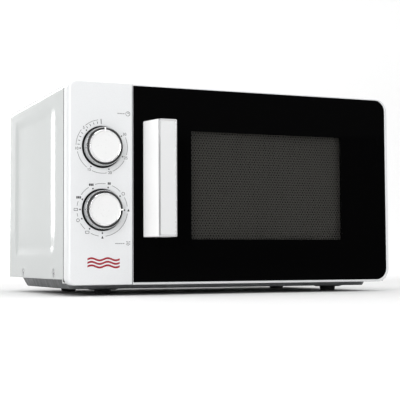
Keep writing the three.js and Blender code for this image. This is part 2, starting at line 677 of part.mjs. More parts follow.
// The moulded door shell: a thin border round the glass, a ledge the glass is bonded to, and a
// block with a blind hole above and below for each hinge pin.
function makeDoorFrame() {
  const face = roundedRect(DOOR_LEFT_X, BEZEL_BOTTOM_Z, HALF_WIDTH, TOP_Z, [1, 17, 17, 1]);
  const plan = roundedRect(DOOR_LEFT_X, FRONT_Y, HALF_WIDTH, BEZEL_BACK_Y, [0, 4, 6.8, 0]);
  const block = common(prism(face, 'y', FRONT_Y - 1, BEZEL_BACK_Y + 1, 4), prism(plan, 'z', 0, 300, 3));
  const glassBack = FRONT_Y + GLASS.thick + GAP;
  const ledgeBack = glassBack + WALL;
  const pocket = roundedRect(
    GLASS.left - 2, GLASS.bottom - GAP, GLASS.right + GAP, GLASS.top + GAP,
    [0, GLASS.radius, GLASS.radius, 0]);
  const inside = roundedRect(
    DOOR_LEFT_X + WALL, BEZEL_BOTTOM_Z + WALL, HALF_WIDTH - WALL, TOP_Z - WALL, [1, 14, 14, 1]);
  const window = roundedRect(-127, 26, 204, 243, 4);
  const shell = cut(
    block,
    prism(pocket, 'y', FRONT_Y - 1, glassBack, 4),
    prism(window, 'y', glassBack - 1, ledgeBack + 1, 1),
    prism(inside, 'y', ledgeBack, BEZEL_BACK_Y + 1, 3),
  );
  const hingeBlock = (z0, z1) => box(
    HINGE_X - 7, HALF_WIDTH - 1.5, ledgeBack - 0.1, BEZEL_BACK_Y - 0.3, z0, z1);
  const hingeBlocks = common(joined(hingeBlock(224, TOP_Z - 1), hingeBlock(BEZEL_BOTTOM_Z + 1, 44)), block);
  const topFloor = TOP_Z - HINGE_POCKET_DEPTH;
  const bottomFloor = BEZEL_BOTTOM_Z + HINGE_POCKET_DEPTH;
  const hingeRoom = (z0, z1) => box(204, HALF_WIDTH + 1, glassBack + 0.1, BEZEL_BACK_Y + 1, z0, z1);
  const springStop = box(DOOR_LEFT_X + 1, LATCH_X + 5, -136, -129, 236.5, 240);
  const pinHole = (z0, z1) => rod('z', HINGE_X, HINGE_Y, HINGE_PIN_R + GAP, z0, z1, 12);
  return cut(
    joined(shell, hingeBlocks, springStop),
    hingeRoom(topFloor, TOP_Z + 1),
    hingeRoom(BEZEL_BOTTOM_Z - 1, bottomFloor),
    pinHole(topFloor - 22, topFloor + 1),
    pinHole(bottomFloor - 1, bottomFloor + 22),
  );
}

function makeDoorGlass() {
  const { left, right, bottom, top, radius } = GLASS;
  const pane = roundedRect(left, bottom, right, top, [1, radius, radius, 1]);
  return prism(pane, 'y', FRONT_Y, FRONT_Y + GLASS.thick, 4);
}

// The steel inner panel: a shallow tray whose rim is the microwave choke.
function makeDoorScreen() {
  const front = -134.2;
  const back = -126.5;
  const outline = (inset) => roundedRect(-124 + inset, 24 + inset, 202 - inset, 244 - inset, 3);
  const block = prism(outline(0), 'y', front, back, 1);
  return cut(block, prism(outline(PLATE), 'y', front + PLATE, back + 1, 1));
}

// The plastic ring that covers the choke on the cavity side.
function makeChokeCover() {
  const ring = withHoles(
    roundedRect(DOOR_LEFT_X + WALL + 0.4, 16.2, 205.4, 252.2, 4),
    roundedRect(-75, 52, 163, 209, 8),
    ...HOOK_PLACES.map((z) => roundedRect(LATCH_X - 2.6, z - 9.5, LATCH_X + 2.6, z + 11.5, 0)),
  );
  return prism(ring, 'y', -126.2, -125);
}

// The latch: a plate that slides up and down inside the door, with two hooks that reach back.
function makeDoorLatch() {
  const hook = (z) => prism(polygon([
    [-131.5, z - 4], [-113, z - 4], [-113, z - 8], [-109, z - 8],
    [-105, z - 3], [-105, z + 4], [-131.5, z + 4],
  ]), 'x', LATCH_X - 1.5, LATCH_X + 1.5);
  return joined(box(LATCH_X - 4.7, LATCH_X + 4.7, -134, -131, 60, LATCH_TOP_Z), ...HOOK_PLACES.map(hook));
}

class Helix extends THREE.Curve {
  constructor(radius, turns, z0, z1) {
    super();
    Object.assign(this, { radius, turns, z0, z1 });
  }

  getPoint(t, target = new THREE.Vector3()) {
    const angle = t * this.turns * Math.PI * 2;
    const z = this.z0 + t * (this.z1 - this.z0);
    return target.set(this.radius * Math.cos(angle), this.radius * Math.sin(angle), z);
  }
}

function makeLatchSpring() {
  const turns = 5;
  const path = new Helix(2.4, turns, LATCH_TOP_Z + 0.9, 236.5 - 0.9);
  const coil = new THREE.ExtrudeGeometry(disc(0, 0, 0.45), {
    steps: turns * 9, curveSegments: 3, bevelEnabled: false, extrudePath: path,
  });
  return coil.translate(LATCH_X, -132.5, 0);
}

// A hinge bracket bolted behind the front plate, its tab over the pin that is riveted in it.
function makeHinge(tabZ, up) {
  const left = HINGE_X - 4.5;
  const right = HINGE_X + 1.2; // clear of the casing's rounded corner
  const tab = new THREE.Shape();
  tab.moveTo(left, FRAME_BACK_Y + GAP + 1.6);
  tab.lineTo(left, HINGE_Y);
  tab.absarc(HINGE_X - 0.25, HINGE_Y, 4.25, Math.PI, Math.PI * 2, false);
  tab.lineTo(right, HINGE_Y + 7);
  tab.lineTo(right, FRAME_BACK_Y + GAP + 1.6);
  const legEnds = up > 0 ? [tabZ - 24, tabZ + 1] : [tabZ + 0.6, tabZ + 25];
  const leg = box(left, right, FRAME_BACK_Y + GAP, FRAME_BACK_Y + GAP + 1.6, ...legEnds);
  const face = up > 0 ? tabZ + HINGE_TAB_THICK : tabZ;
  const ends = (a, b) => [Math.min(face + up * a, face + up * b), Math.max(face + up * a, face + up * b)];
  return joined(
    prism(tab, 'z', tabZ, tabZ + HINGE_TAB_THICK, 4),
    leg,
    rod('z', HINGE_X, HINGE_Y, HINGE_PIN_R, ...ends(-21, 0.2), 12),
    rod('z', HINGE_X, HINGE_Y, 3.4, ...ends(-0.2, 1), 8),
  );
}

// ---------------------------------------------------------------- handle

// The handle body wraps round the finger space, which is open on the hinge side.
function makeHandleBody() {
  const back = FRONT_Y - GAP;
  const face = HANDLE_FACE_Y;
  const plan = polygon([
    [HANDLE.left, back], [HANDLE.leftFront, face], [HANDLE.right, face], [HANDLE.right, back],
  ]);
  const room = polygon([
    [HANDLE.left + 3.4, back + 1], [HANDLE.leftFront + 3.2, face + 3.4],
    [HANDLE.right + 1, face + 3.4], [HANDLE.right + 1, back + 1],
  ]);
  return cut(
    prism(plan, 'z', HANDLE.bottom, HANDLE.top),
    prism(room, 'z', HANDLE.bottom + 3, HANDLE.top - 3),
  );
}

function handleOutline(inset) {
  return roundedRect(
    HANDLE.leftFront + inset, HANDLE.bottom + inset, HANDLE.right - inset, HANDLE.top - inset, 0.8);
}

function makeHandleTrim() {
  return prism(withHoles(handleOutline(0), handleOutline(1.6)), 'y', -HALF_DEPTH, HANDLE_FACE_Y - GAP, 1);
}

function makeHandleFront() {
  return prism(handleOutline(1.6 + GAP), 'y', -HALF_DEPTH, HANDLE_FACE_Y - GAP, 1);
}

// ---------------------------------------------------------------- assembly

add('outer_case', makeOuterCase(), 'casePaint');
add('base_pan', makeBasePan(), 'steel');
add('rear_panel', makeRearPanel(), 'steel');
add('cord_gland', makeCordGland(), 'blackPlastic');
FOOT_PLACES.forEach(([x, y], i) => add(`foot_${i + 1}`, makeFoot(x, y), 'rubber'));
SCREW_PLACES.forEach(([side, y], i) => add(`case_screw_${i + 1}`, makeCaseScrew(side, y), 'steel'));
add('front_frame', makeFrontFrame(), 'cavityPaint');
add('cavity_floor', makeCavityFloor(), 'cavityPaint');
add('cavity_ceiling', makeCavityCeiling(), 'cavityPaint');
add('cavity_left_wall', makeCavityLeftWall(), 'cavityPaint');
add('cavity_right_wall', makeCavityRightWall(), 'cavityPaint');
add('waveguide', makeWaveguide(), 'steel');
add('waveguide_cover', makeWaveguideCover(), 'mica');
add('magnetron_yoke', makeMagnetronYoke(), 'steel');
add('magnetron_tube', makeMagnetronTube(), 'aluminium');
add('transformer_core', makeTransformerCore(), 'steel');
add('transformer_coil', makeTransformerCoil(), 'copper');
add('high_voltage_capacitor', makeCapacitor(), 'aluminium');
add('fan_shroud', makeFanShroud(), 'greyPlastic');
add('fan_motor', makeFanMotor(), 'steel');
add('fan_blade', makeFanBlade(), 'blackPlastic');
add('filter_board', makeFilterBoard(), 'board');
add('lamp_bulb', makeLampBulb(), 'clearGlass');
add('timer_unit', makeTimerUnit(), 'greyPlastic');
add('timer_bell', makeTimerBell(), 'chrome');
add('interlock_board', makeInterlockBoard(), 'whitePlastic');
SWITCHES.forEach(({ name, z }) => add(name, makeSwitch(z), 'blackPlastic'));
add('control_panel', makeControlPanel(), 'panelPlastic');
for (const [name, z, pointerAngle] of [['timer', TIMER_Z, 0], ['power', POWER_Z, -Math.PI / 2]]) {
  add(`${name}_shaft`, makeKnobShaft(z), 'steel');
  add(`${name}_knob_skirt`, makeKnobSkirt(z), 'chrome');
  add(`${name}_knob_cap`, makeKnobCap(z, pointerAngle), 'whitePlastic');
}
add('turntable_motor', makeTurntableMotor(), 'steel');
add('turntable_coupler', makeTurntableCoupler(), 'whitePlastic');
add('roller_ring', makeRollerRing(), 'whitePlastic');
for (let i = 0; i < 3; i += 1) add(`roller_${i + 1}`, makeRoller(i), 'whitePlastic');
add('glass_turntable', makeGlassTurntable(), 'clearGlass');
add('door_frame', makeDoorFrame(), 'panelPlastic');
add('door_glass', makeDoorGlass(), 'blackGlass');
add('door_screen', makeDoorScreen(), 'steel');
add('choke_cover', makeChokeCover(), 'greyPlastic');
add('door_latch', makeDoorLatch(), 'whitePlastic');
add('latch_spring', makeLatchSpring(), 'steel');
add('hinge_upper', makeHinge(TOP_TAB_Z, 1), 'steel');
add('hinge_lower', makeHinge(BOTTOM_TAB_Z, -1), 'steel');
add('handle_body', makeHandleBody(), 'whitePlastic');
add('handle_trim', makeHandleTrim(), 'chrome');
add('handle_front', makeHandleFront(), 'panelPlastic');

export default oven;
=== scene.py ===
"""Looks for the countertop microwave oven: fine surfaces, materials, light and camera."""

import json
import math

import bmesh
import bpy
from mathutils import Matrix, Vector


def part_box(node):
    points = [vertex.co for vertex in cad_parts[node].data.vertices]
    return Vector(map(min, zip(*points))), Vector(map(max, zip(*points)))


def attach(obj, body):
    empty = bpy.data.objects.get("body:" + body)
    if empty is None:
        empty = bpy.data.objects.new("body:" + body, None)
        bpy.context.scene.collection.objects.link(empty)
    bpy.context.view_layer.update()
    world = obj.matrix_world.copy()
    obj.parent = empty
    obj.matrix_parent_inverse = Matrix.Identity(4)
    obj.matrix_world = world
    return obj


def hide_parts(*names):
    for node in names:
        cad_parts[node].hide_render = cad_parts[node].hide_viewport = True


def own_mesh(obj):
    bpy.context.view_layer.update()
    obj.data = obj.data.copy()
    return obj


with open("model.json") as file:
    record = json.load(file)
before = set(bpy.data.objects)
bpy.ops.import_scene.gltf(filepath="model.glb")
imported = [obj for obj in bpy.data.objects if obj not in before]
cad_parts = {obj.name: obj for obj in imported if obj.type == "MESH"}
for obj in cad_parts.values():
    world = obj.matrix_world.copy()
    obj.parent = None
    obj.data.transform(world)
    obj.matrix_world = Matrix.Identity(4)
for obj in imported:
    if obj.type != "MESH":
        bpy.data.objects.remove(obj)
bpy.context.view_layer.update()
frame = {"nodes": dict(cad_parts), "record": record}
MM = 0.001
TAU = math.tau


def placed(name, data):
    """A new object in the scene."""
    made = bpy.data.objects.new(name, data)
    bpy.context.collection.objects.link(made)
    return made


def corners(node):
    """The lowest and highest corner of a CAD node, in millimetres."""
    low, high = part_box(node)
    return [v / MM for v in low], [v / MM for v in high]


# ------------------------------------------------------------------ measures, millimetres

case_low, case_high = corners("outer_case")
panel_low, panel_high = corners("control_panel")
door_low, door_high = corners("door_frame")
pane_low, pane_high = corners("door_glass")
handle_low, handle_high = corners("handle_body")
trim_low, trim_high = corners("handle_trim")
rear_low, rear_high = corners("rear_panel")
pan_low, pan_high = corners("base_pan")
cover_low, cover_high = corners("choke_cover")
tray_low, tray_high = corners("door_screen")

WINDOW = (-63.3, 67.7, 148.6, 201.2)  # x0, z0, x1, z1
HOLE_PITCH = 3.6
HOLE_R = 1.05
LATCH_HOOKS = (73, 203)
SHEET = 0.8
PAN_SHEET = 1.0


def node_centre(node):
    low, high = corners(node)
    return [(a + b) / 2 for a, b in zip(low, high)]


KNOBS = {name: node_centre(name + "_knob_skirt") for name in ("timer", "power")}
FEET = [node_centre("foot_%d" % i) for i in range(1, 5)]

# ------------------------------------------------------------------ camera first

CAMERA_PLACE = (-0.5666, -1.3635, 0.0415)
CAMERA_YAW = -22.868
CAMERA_PITCH = 3.2255
CAMERA_ROLL = -0.2925


def make_camera():
    data = bpy.data.cameras.new("camera")
    data.lens = 96.86
    data.sensor_width = 36.0
    data.clip_start = 0.01
    camera = placed("camera", data)
    turn = Matrix.Rotation(math.radians(CAMERA_YAW), 4, "Z")
    tilt = Matrix.Rotation(math.radians(90 + CAMERA_PITCH), 4, "X")
    roll = Matrix.Rotation(math.radians(CAMERA_ROLL), 4, "Z")
    camera.matrix_world = Matrix.Translation(CAMERA_PLACE) @ turn @ tilt @ roll
    bpy.context.scene.camera = camera


make_camera()

# ------------------------------------------------------------------ materials


class Paint:
    """A node material around one Principled shader."""

    def __init__(self, name, color, roughness, metallic=0.0, **sockets):
        self.material = bpy.data.materials.new(name)
        self.material.use_nodes = True
        self.tree = self.material.node_tree
        self.shader = self.tree.nodes["Principled BSDF"]
        self.color = color
        self.set("Base Color", (*color, 1.0))
        self.set("Roughness", roughness)
        self.set("Metallic", metallic)
        for socket, value in sockets.items():
            self.set(socket.replace("_", " "), value)
        self.coords = self.tree.nodes.new("ShaderNodeTexCoord")

    def set(self, socket, value):
        self.shader.inputs[socket].default_value = value

    def node(self, kind, **values):
        made = self.tree.nodes.new("ShaderNode" + kind)
        for key, value in values.items():
            socket = key.replace("_", " ")
            if socket in made.inputs:
                made.inputs[socket].default_value = value
            else:
                setattr(made, key, value)
        return made

    def link(self, out, into):
        self.tree.links.new(out, into)

    def stretched(self, scale):
        mapping = self.node("Mapping", Scale=scale)
        self.link(self.coords.outputs["Object"], mapping.inputs["Vector"])
        return mapping.outputs["Vector"]

    def noise(self, scale, detail=4.0, stretch=(1, 1, 1)):
        made = self.node("TexNoise", Scale=scale, Detail=detail)
        self.link(self.stretched(stretch), made.inputs["Vector"])
        return made.outputs["Fac"]

    def speckle(self, scale):
        made = self.node("TexVoronoi", Scale=scale)
        self.link(self.coords.outputs["Object"], made.inputs["Vector"])
        return made.outputs["Color"]

    def spread(self, factor, low, high):
        made = self.node("MapRange", From_Min=0.3, From_Max=0.7, To_Min=low, To_Max=high)
        self.link(factor, made.inputs["Value"])
        return made.outputs["Result"]

    def vary_color(self, factor, amount):
        mix = self.node("Mix", data_type="RGBA")
        mix.inputs["A"].default_value = (*[c * (1 - amount) for c in self.color], 1)
        mix.inputs["B"].default_value = (*[min(1, c * (1 + amount)) for c in self.color], 1)
        self.link(factor, mix.inputs["Factor"])
        self.link(mix.outputs["Result"], self.shader.inputs["Base Color"])
        return self

    def vary_roughness(self, factor, low, high):
        self.link(self.spread(factor, low, high), self.shader.inputs["Roughness"])
        return self

    def bump(self, factor, strength, distance):
        made = self.node("Bump", Strength=strength, Distance=distance * MM)
        self.link(factor, made.inputs["Height"])
        self.link(made.outputs["Normal"], self.shader.inputs["Normal"])
        return self


def enamel(name, color, roughness, gloss=0.5):
    """Sprayed paint: slow colour drift, fine orange peel."""
    paint = Paint(name, color, roughness, Specular_IOR_Level=gloss)
    paint.vary_color(paint.noise(7), 0.012)
    paint.vary_roughness(paint.noise(60), roughness * 0.85, roughness * 1.15)
    return paint.bump(paint.noise(900, 2), 0.06, 0.05).material


def moulded(name, color, roughness, grain=0.05, variation=0.02, **sockets):
    """Moulded plastic: faint flow marks and a fine spark-eroded grain."""
    paint = Paint(name, color, roughness, **sockets)
    paint.vary_color(paint.noise(14, 3, (1, 1, 0.35)), variation)
    paint.vary_roughness(paint.noise(240), roughness * 0.85, roughness * 1.2)
    return paint.bump(paint.noise(2600, 2), grain, 0.04).material


def plated(name, color, roughness):
    """Bright plating with hairline polishing marks."""
    paint = Paint(name, color, roughness, 1.0)
    paint.vary_roughness(paint.noise(500, 3, (1, 1, 0.1)), roughness * 0.6, roughness * 1.6)
    return paint.bump(paint.noise(1200, 2), 0.01, 0.02).material


def galvanised(name, color, roughness):
    """Zinc-plated sheet: large soft spangle and rolling marks."""
    paint = Paint(name, color, roughness, 0.85)
    paint.vary_color(paint.speckle(130), 0.10)
    paint.vary_roughness(paint.noise(45, 5, (1, 6, 1)), roughness * 0.7, roughness * 1.3)
    return paint.bump(paint.noise(300, 3, (1, 8, 1)), 0.05, 0.05).material


def pearl(name, color):
    """Silver-white lacquered moulding with a fine metallic flake."""
    paint = Paint(name, color, 0.38, 0.08, Coat_Weight=0.4, Coat_Roughness=0.12)
    paint.vary_color(paint.speckle(2400), 0.035)
    paint.vary_roughness(paint.noise(180), 0.32, 0.44)
    return paint.bump(paint.noise(1500, 2), 0.03, 0.03).material


def pane(name, color, roughness, **sockets):
    """Glass: flawless but for the faintest polishing haze."""
    paint = Paint(name, color, roughness, **sockets)
    return paint.vary_roughness(paint.noise(25), roughness * 0.7, roughness * 1.5).material


M = {
    "case": enamel("case_enamel", (0.56, 0.582, 0.577), 0.15, 0.2),
    "cavity": enamel("cavity_enamel", (0.66, 0.67, 0.66), 0.38),
    "insert": pearl("silver_insert", (0.74, 0.745, 0.75)),
    "panel": pearl("pearl_plastic", (0.775, 0.785, 0.795)),
    "white": moulded("white_plastic", (0.95, 0.95, 0.95), 0.32, Coat_Weight=0.2),
    "cap": moulded("cap_plastic", (0.80, 0.80, 0.80), 0.3, Coat_Weight=0.2),
    "black": moulded("black_plastic", (0.02, 0.02, 0.021), 0.5, 0.12),
    # Near-black used only as painted shade: in the knob wells and in the joint behind the casing's front
    # edge.
    "gap": moulded("painted_gap_shade", (0.004, 0.004, 0.004), 0.7),
    "grey": moulded("grey_plastic", (0.075, 0.078, 0.082), 0.5, 0.12),
    "rubber": moulded("foot_rubber", (0.018, 0.018, 0.018), 0.75, 0.25, 0.15),
    "skirt": plated("satin_chrome", (0.50, 0.505, 0.51), 0.16),
    # Black ring material: painted shade standing for the groove between knob skirt and cap.
    "painted_groove_shade": moulded("painted_groove_shade", (0.012, 0.012, 0.012), 0.35, 0.03, 0.05),
    "chrome": plated("bright_chrome", (0.80, 0.80, 0.81), 0.07),
    "zinc": galvanised("zinc_sheet", (0.36, 0.37, 0.385), 0.42),
    "pan_zinc": galvanised("pan_sheet", (0.17, 0.175, 0.18), 0.48),
    "steel_screw": plated("screw_steel", (0.55, 0.55, 0.56), 0.25),
    "aluminium": galvanised("aluminium_sheet", (0.62, 0.63, 0.64), 0.35),
    "copper": plated("enamelled_copper", (0.55, 0.2, 0.08), 0.32),
    "board": moulded("phenolic_board", (0.36, 0.2, 0.08), 0.6, 0.1, 0.1),
    "mica": moulded("mica_sheet", (0.45, 0.41, 0.32), 0.55, 0.3, 0.14),
    "black_glass": pane("black_glass", (0.0012, 0.0012, 0.0013), 0.03, Specular_IOR_Level=0.008),
    "tint": pane("tinted_window", (0.004, 0.004, 0.004), 0.03, Specular_IOR_Level=0.008, Alpha=0.36),
    "clear": pane("clear_glass", (0.93, 0.97, 0.96), 0.03, Transmission_Weight=0.92, IOR=1.5),
    "ink": moulded("grey_ink", (0.018, 0.018, 0.019), 0.6),
    "pale_ink": moulded("pale_ink", (0.09, 0.09, 0.092), 0.6),
    "red_ink": moulded("red_ink", (0.32, 0.004, 0.02), 0.5),
    "film": pane("smoked_film", (0.008, 0.008, 0.008), 0.25, Alpha=0.93),
    "screen": enamel("screen_enamel", (0.235, 0.228, 0.205), 0.45),
}

# ------------------------------------------------------------------ mesh making


def rounded(x0, z0, x1, z1, radii, steps=8):
    """A rounded rectangle, counterclockwise from the lower left. The radii run lower left,
    lower right, upper right, upper left, and every corner has the same number of points."""
    if not isinstance(radii, (tuple, list)):
        radii = (radii,) * 4
    centres = ((x0, z0, 1, 1), (x1, z0, -1, 1), (x1, z1, -1, -1), (x0, z1, 1, -1))
    points = []
    for index, ((cx, cz, sx, sz), r) in enumerate(zip(centres, radii)):
        r = max(r, 0.02)
        start = math.pi + index * math.pi / 2
        for step in range(steps + 1):
            angle = start + math.pi / 2 * step / steps
            points.append((cx + sx * r + r * math.cos(angle), cz + sz * r + r * math.sin(angle)))
    return points


def circle(cx, cz, r, count=64):
    return [(cx + r * math.cos(TAU * i / count), cz + r * math.sin(TAU * i / count)) for i in range(count)]


def across(axis, points, place):
    """Sets a flat outline at a place along an axis."""
    if axis == "y":
        return [(a, place, b) for a, b in points]
    if axis == "x":
        return [(place, a, b) for a, b in points]
    return [(a, b, place) for a, b in points]


def prism(axis, points, low, high):
    """A flat outline pushed along an axis."""
    return loft_mesh([across(axis, points, place) for place in (low, high)])


def swept(section):
    """A closed shell from (outline, y) pairs, skinned in order and back to the first."""
    return loft_mesh([across("y", points, y) for points, y in section], wrap=True)


def shrunk(box, inset, radii, steps=8):
    """A rounded rectangle that lies within a box (x0, z0, x1, z1) by an inset."""
    x0, z0, x1, z1 = box
    return rounded(x0 + inset, z0 + inset, x1 - inset, z1 - inset, radii, steps)


def add_mesh(name, mesh, material, body=None, smooth=35):
    """A smooth-shaded object whose edges stay sharp beyond an angle in degrees."""
    for polygon in mesh.polygons:
        polygon.use_smooth = True
    made = placed(name, mesh)
    mesh.materials.append(material)
    mesh.set_sharp_from_angle(angle=math.radians(smooth))
    made.modifiers.new("normals", "WEIGHTED_NORMAL").keep_sharp = True
    if body:
        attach(made, body)
    return made


def add_piece(name, mesh, look, body, slot, *nodes, smooth=35):
    """A piece that rides on a body and stands for the CAD nodes named. The slot argument is not used."""
    made = add_mesh(name, mesh, M[look], body, smooth)
    if nodes:
        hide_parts(*nodes)
    return made


def reworked(mesh, work):
    """The same mesh after work(shape) has changed it in its bmesh form."""
    shape = bmesh.new()
    shape.from_mesh(mesh)
    shape.verts.ensure_lookup_table()
    work(shape)
    shape.to_mesh(mesh)
    shape.free()
    return mesh


def face_out(shape):
    bmesh.ops.recalc_face_normals(shape, faces=shape.faces)


def mesh_of(vertices, faces, work=face_out):
    """A mesh from millimetre points; unless told otherwise its normals are turned outwards."""
    mesh = bpy.data.meshes.new("mesh")
    mesh.from_pydata([(x * MM, y * MM, z * MM) for x, y, z in vertices], [], faces)
    return reworked(mesh, work)


def thicken(made, thickness):
    """Turns an open sheet into one with a thickness, which it takes up inwards."""
    modifier = made.modifiers.new("sheet", "SOLIDIFY")
    modifier.thickness = thickness * MM
    modifier.offset = -1


def settled(made):
    """The mesh that an object has after its modifiers."""
    graph = bpy.context.evaluated_depsgraph_get()
    return bpy.data.meshes.new_from_object(made.evaluated_get(graph))


def loft_mesh(rings, caps=True, wrap=False):
    """Skins rings of equal length; wrap joins the last ring to the first."""
    count = len(rings[0])
    vertices = [point for ring in rings for point in ring]
    faces = []
    spans = len(rings) if wrap else len(rings) - 1
    for level in range(spans):
        low = level * count
        high = ((level + 1) % len(rings)) * count
        for i in range(count):
            j = (i + 1) % count
            faces.append((low + i, low + j, high + j, high + i))
    if caps and not wrap:
        faces.append(tuple(range(count)))
        faces.append(tuple(range(len(vertices) - count, len(vertices))))
    return mesh_of(vertices, faces)


def bevel_steps(size, count=3):
    """Pairs (inset, depth) round a quarter-circle edge, from the face to the side."""
    angles = [math.pi / 2 * i / count for i in range(count + 1)]
    return [(size * (1 - math.sin(a)), size * (1 - math.cos(a))) for a in angles]


def slab_mesh(shape, axis, front, back, front_edge, back_edge=0.3):
    """A plate whose outline is shape(inset), with rounded edges at both faces."""
    way = 1 if back > front else -1
    rings = [across(axis, shape(inset), front + way * depth) for inset, depth in bevel_steps(front_edge)]
    rings += [
        across(axis, shape(inset), back - way * depth)
        for inset, depth in reversed(bevel_steps(back_edge, 2))
    ]
    return loft_mesh(rings)


def lathe_mesh(profile, sides, axis, place=(0, 0, 0), closed=False):
    """Turns (radius, height) points round an axis. 'front' runs height towards -Y."""
    rings = []
    for radius, height in profile:
        ring = []
        for i in range(sides):
            a = radius * math.cos(TAU * i / sides)
            b = radius * math.sin(TAU * i / sides)
            spot = {
                "z": (a, b, height), "front": (a, -height, b), "y": (a, height, b), "x": (height, a, b),
            }[axis]
            ring.append(tuple(p + q for p, q in zip(spot, place)))
        rings.append(ring)
    return loft_mesh(rings, caps=not closed, wrap=closed)


def box_mesh(x0, x1, y0, y1, z0, z1):
    return prism("z", [(x0, y0), (x1, y0), (x1, y1), (x0, y1)], z0, z1)


def merged(*meshes):
    """One mesh out of several."""
    shape = bmesh.new()
    for mesh in meshes:
        shape.from_mesh(mesh)
        bpy.data.meshes.remove(mesh)
    made = bpy.data.meshes.new("mesh")
    shape.to_mesh(made)
    shape.free()
    return made


def carved(mesh, *cutters, operation="DIFFERENCE"):
    """The mesh less the cutters, which must each be closed and clear of each other."""
    target, tool = placed("carving", mesh), placed("cutter", merged(*cutters))
    modifier = target.modifiers.new("carve", "BOOLEAN")
    modifier.operation = operation
    modifier.solver = "EXACT"
    modifier.object = tool
    result = settled(target)
    result.materials.clear()
    bpy.data.objects.remove(target)
    bpy.data.objects.remove(tool)
    return result


def rub_edges(made, width):
    """Breaks the sharp edges of a piece with a small bevel."""
    modifier = made.modifiers.new("edge", "BEVEL")
    modifier.width = width * MM
    modifier.segments = 2
    modifier.limit_method = "ANGLE"
    modifier.angle_limit = math.radians(40)
    modifier.use_clamp_overlap = True


def smoothstep(low, high, value):
    t = min(1.0, max(0.0, (value - low) / (high - low)))
    return t * t * (3 - 2 * t)


# ------------------------------------------------------------------ casing

FIELD = {"front": -91, "back": 125, "bottom": 48, "top": 235, "front_slope": 37, "slope": 12, "depth": 2.2}
DIMPLE_R = 6.6


def field_depth(y, z):
    """How far the stamped field sinks a side wall at a point."""
    f = FIELD
    across_front = smoothstep(f["front"], f["front"] + f["front_slope"], y)
    across_back = 1 - smoothstep(f["back"] - f["slope"], f["back"], y)
    across_low = smoothstep(f["bottom"], f["bottom"] + f["slope"], z)
    across_high = 1 - smoothstep(f["top"] - f["slope"], f["top"], z)
    return f["depth"] * across_front * across_back * across_low * across_high


def case_profile(inset, hem):
    """The wrapper's cross-section from hem to hem as (x, z, is_side) points."""
    x1 = case_high[0] - inset
    top = case_high[2] - inset
    low = case_low[2] + inset
    r = max(9 - inset, 0.8)
    right = [(x1 - hem * (1 - i / 2), low, False) for i in range(2)]
    sides = 56
    right += [(x1, low + (top - r - low) * i / sides, True) for i in range(sides + 1)]
    arc = 10
    for i in range(1, arc + 1):
        angle = math.pi / 2 * i / arc
        right.append((x1 - r + r * math.cos(angle), top - r + r * math.sin(angle), False))
    left = [(-x, z, side) for x, z, side in reversed(right)]
    return right + left


def make_case():
    front, back = case_low[1] + 1.4, case_high[1]
    flange = 12
    rows = [(front, 0.5), (front + 0.2, 0.15), (front + 0.6, 0.0)]
    spans = 90
    rows += [(front + 1.5 + (back - front - 3) * i / spans, 0.0) for i in range(spans + 1)]
    rows += [(back - 1.2 + 1.2 * math.sin(a), 1.2 * (1 - math.cos(a))) for a in (0.5, 1.0, math.pi / 2)]
    rows += [(back, inset) for inset in (3, 6, 9, flange)]
    vertices = []
    for y, inset in rows:
        for x, z, is_side in case_profile(inset, 8 - min(inset, 7)):
            sink = field_depth(y, z) if is_side else 0
            vertices.append((x - math.copysign(sink, x), y, z))
    count = len(case_profile(0, 8))
    faces = []
    for row in range(len(rows) - 1):
        for i in range(count - 1):
            a = row * count + i
            faces.append((a, a + 1, a + count + 1, a + count))

    def top_up(shape):
        face_out(shape)
        top = max(shape.faces, key=lambda f: f.calc_center_median().z)
        if top.normal.z < 0:
            bmesh.ops.reverse_faces(shape, faces=shape.faces)

    made = add_mesh("case_wrapper", mesh_of(vertices, faces, top_up), M["case"])
    thicken(made, SHEET)
    solid = settled(made)
    bpy.data.objects.remove(made)
    screws = [node_centre("case_screw_%d" % i) for i in range(1, 5)]
    holes = [rod_mesh("x", c[1], c[2], DIMPLE_R, c[0] - 14, c[0] + 14) for c in screws]
    add_piece("case_wrapper", carved(solid, *holes), "case", "chassis", "case_paint", "outer_case")
    for index, (_, y, z) in enumerate(screws, 1):
        side = -1 if index <= 2 else 1
        outer = side * case_high[0]
        profile = [
            (DIMPLE_R + 0.4, -0.05), (DIMPLE_R, -0.12), (5.7, -1.5), (5.1, -1.9), (2.2, -2.0),
            (2.2, -2.8), (6.0, -2.8), (6.9, -0.8),
        ]
        dimple = lathe_mesh([(r, side * h) for r, h in profile], 48, "x", (outer, y, z), closed=True)
        add_piece("case_dimple_%d" % index, dimple, "case", "chassis", "case_paint", smooth=60)
        make_screw(index, side, outer, y, z)


def rod_mesh(axis, a, b, r, low, high, sides=32):
    return prism(axis, circle(a, b, r, sides), low, high)


def make_screw(index, side, outer, y, z):
    """A pan head with a cross recess, standing in its dimple."""
    profile = [
        (0.01, -0.2), (1.6, -0.26), (3.1, -0.55), (4.0, -1.1), (4.2, -1.6), (4.2, -1.9), (1.8, -1.9),
        (1.8, -9), (0.01, -9),
    ]
    head = lathe_mesh([(r, side * h) for r, h in profile], 40, "x", (outer, y, z))
    x0, x1 = sorted((outer + side, outer - side * 1.3))
    cross = [
        box_mesh(x0, x1, y - 2.3, y + 2.3, z - 0.45, z + 0.45),
        box_mesh(x0, x1, y - 0.45, y + 0.45, z - 2.3, z + 2.3),
    ]
    for bar in cross:
        head = carved(head, bar)
    add_piece("screw_%d" % index, head, "steel_screw", "chassis", "zinc_steel", "case_screw_%d" % index)


make_case()

# ------------------------------------------------------------------ base pan and feet


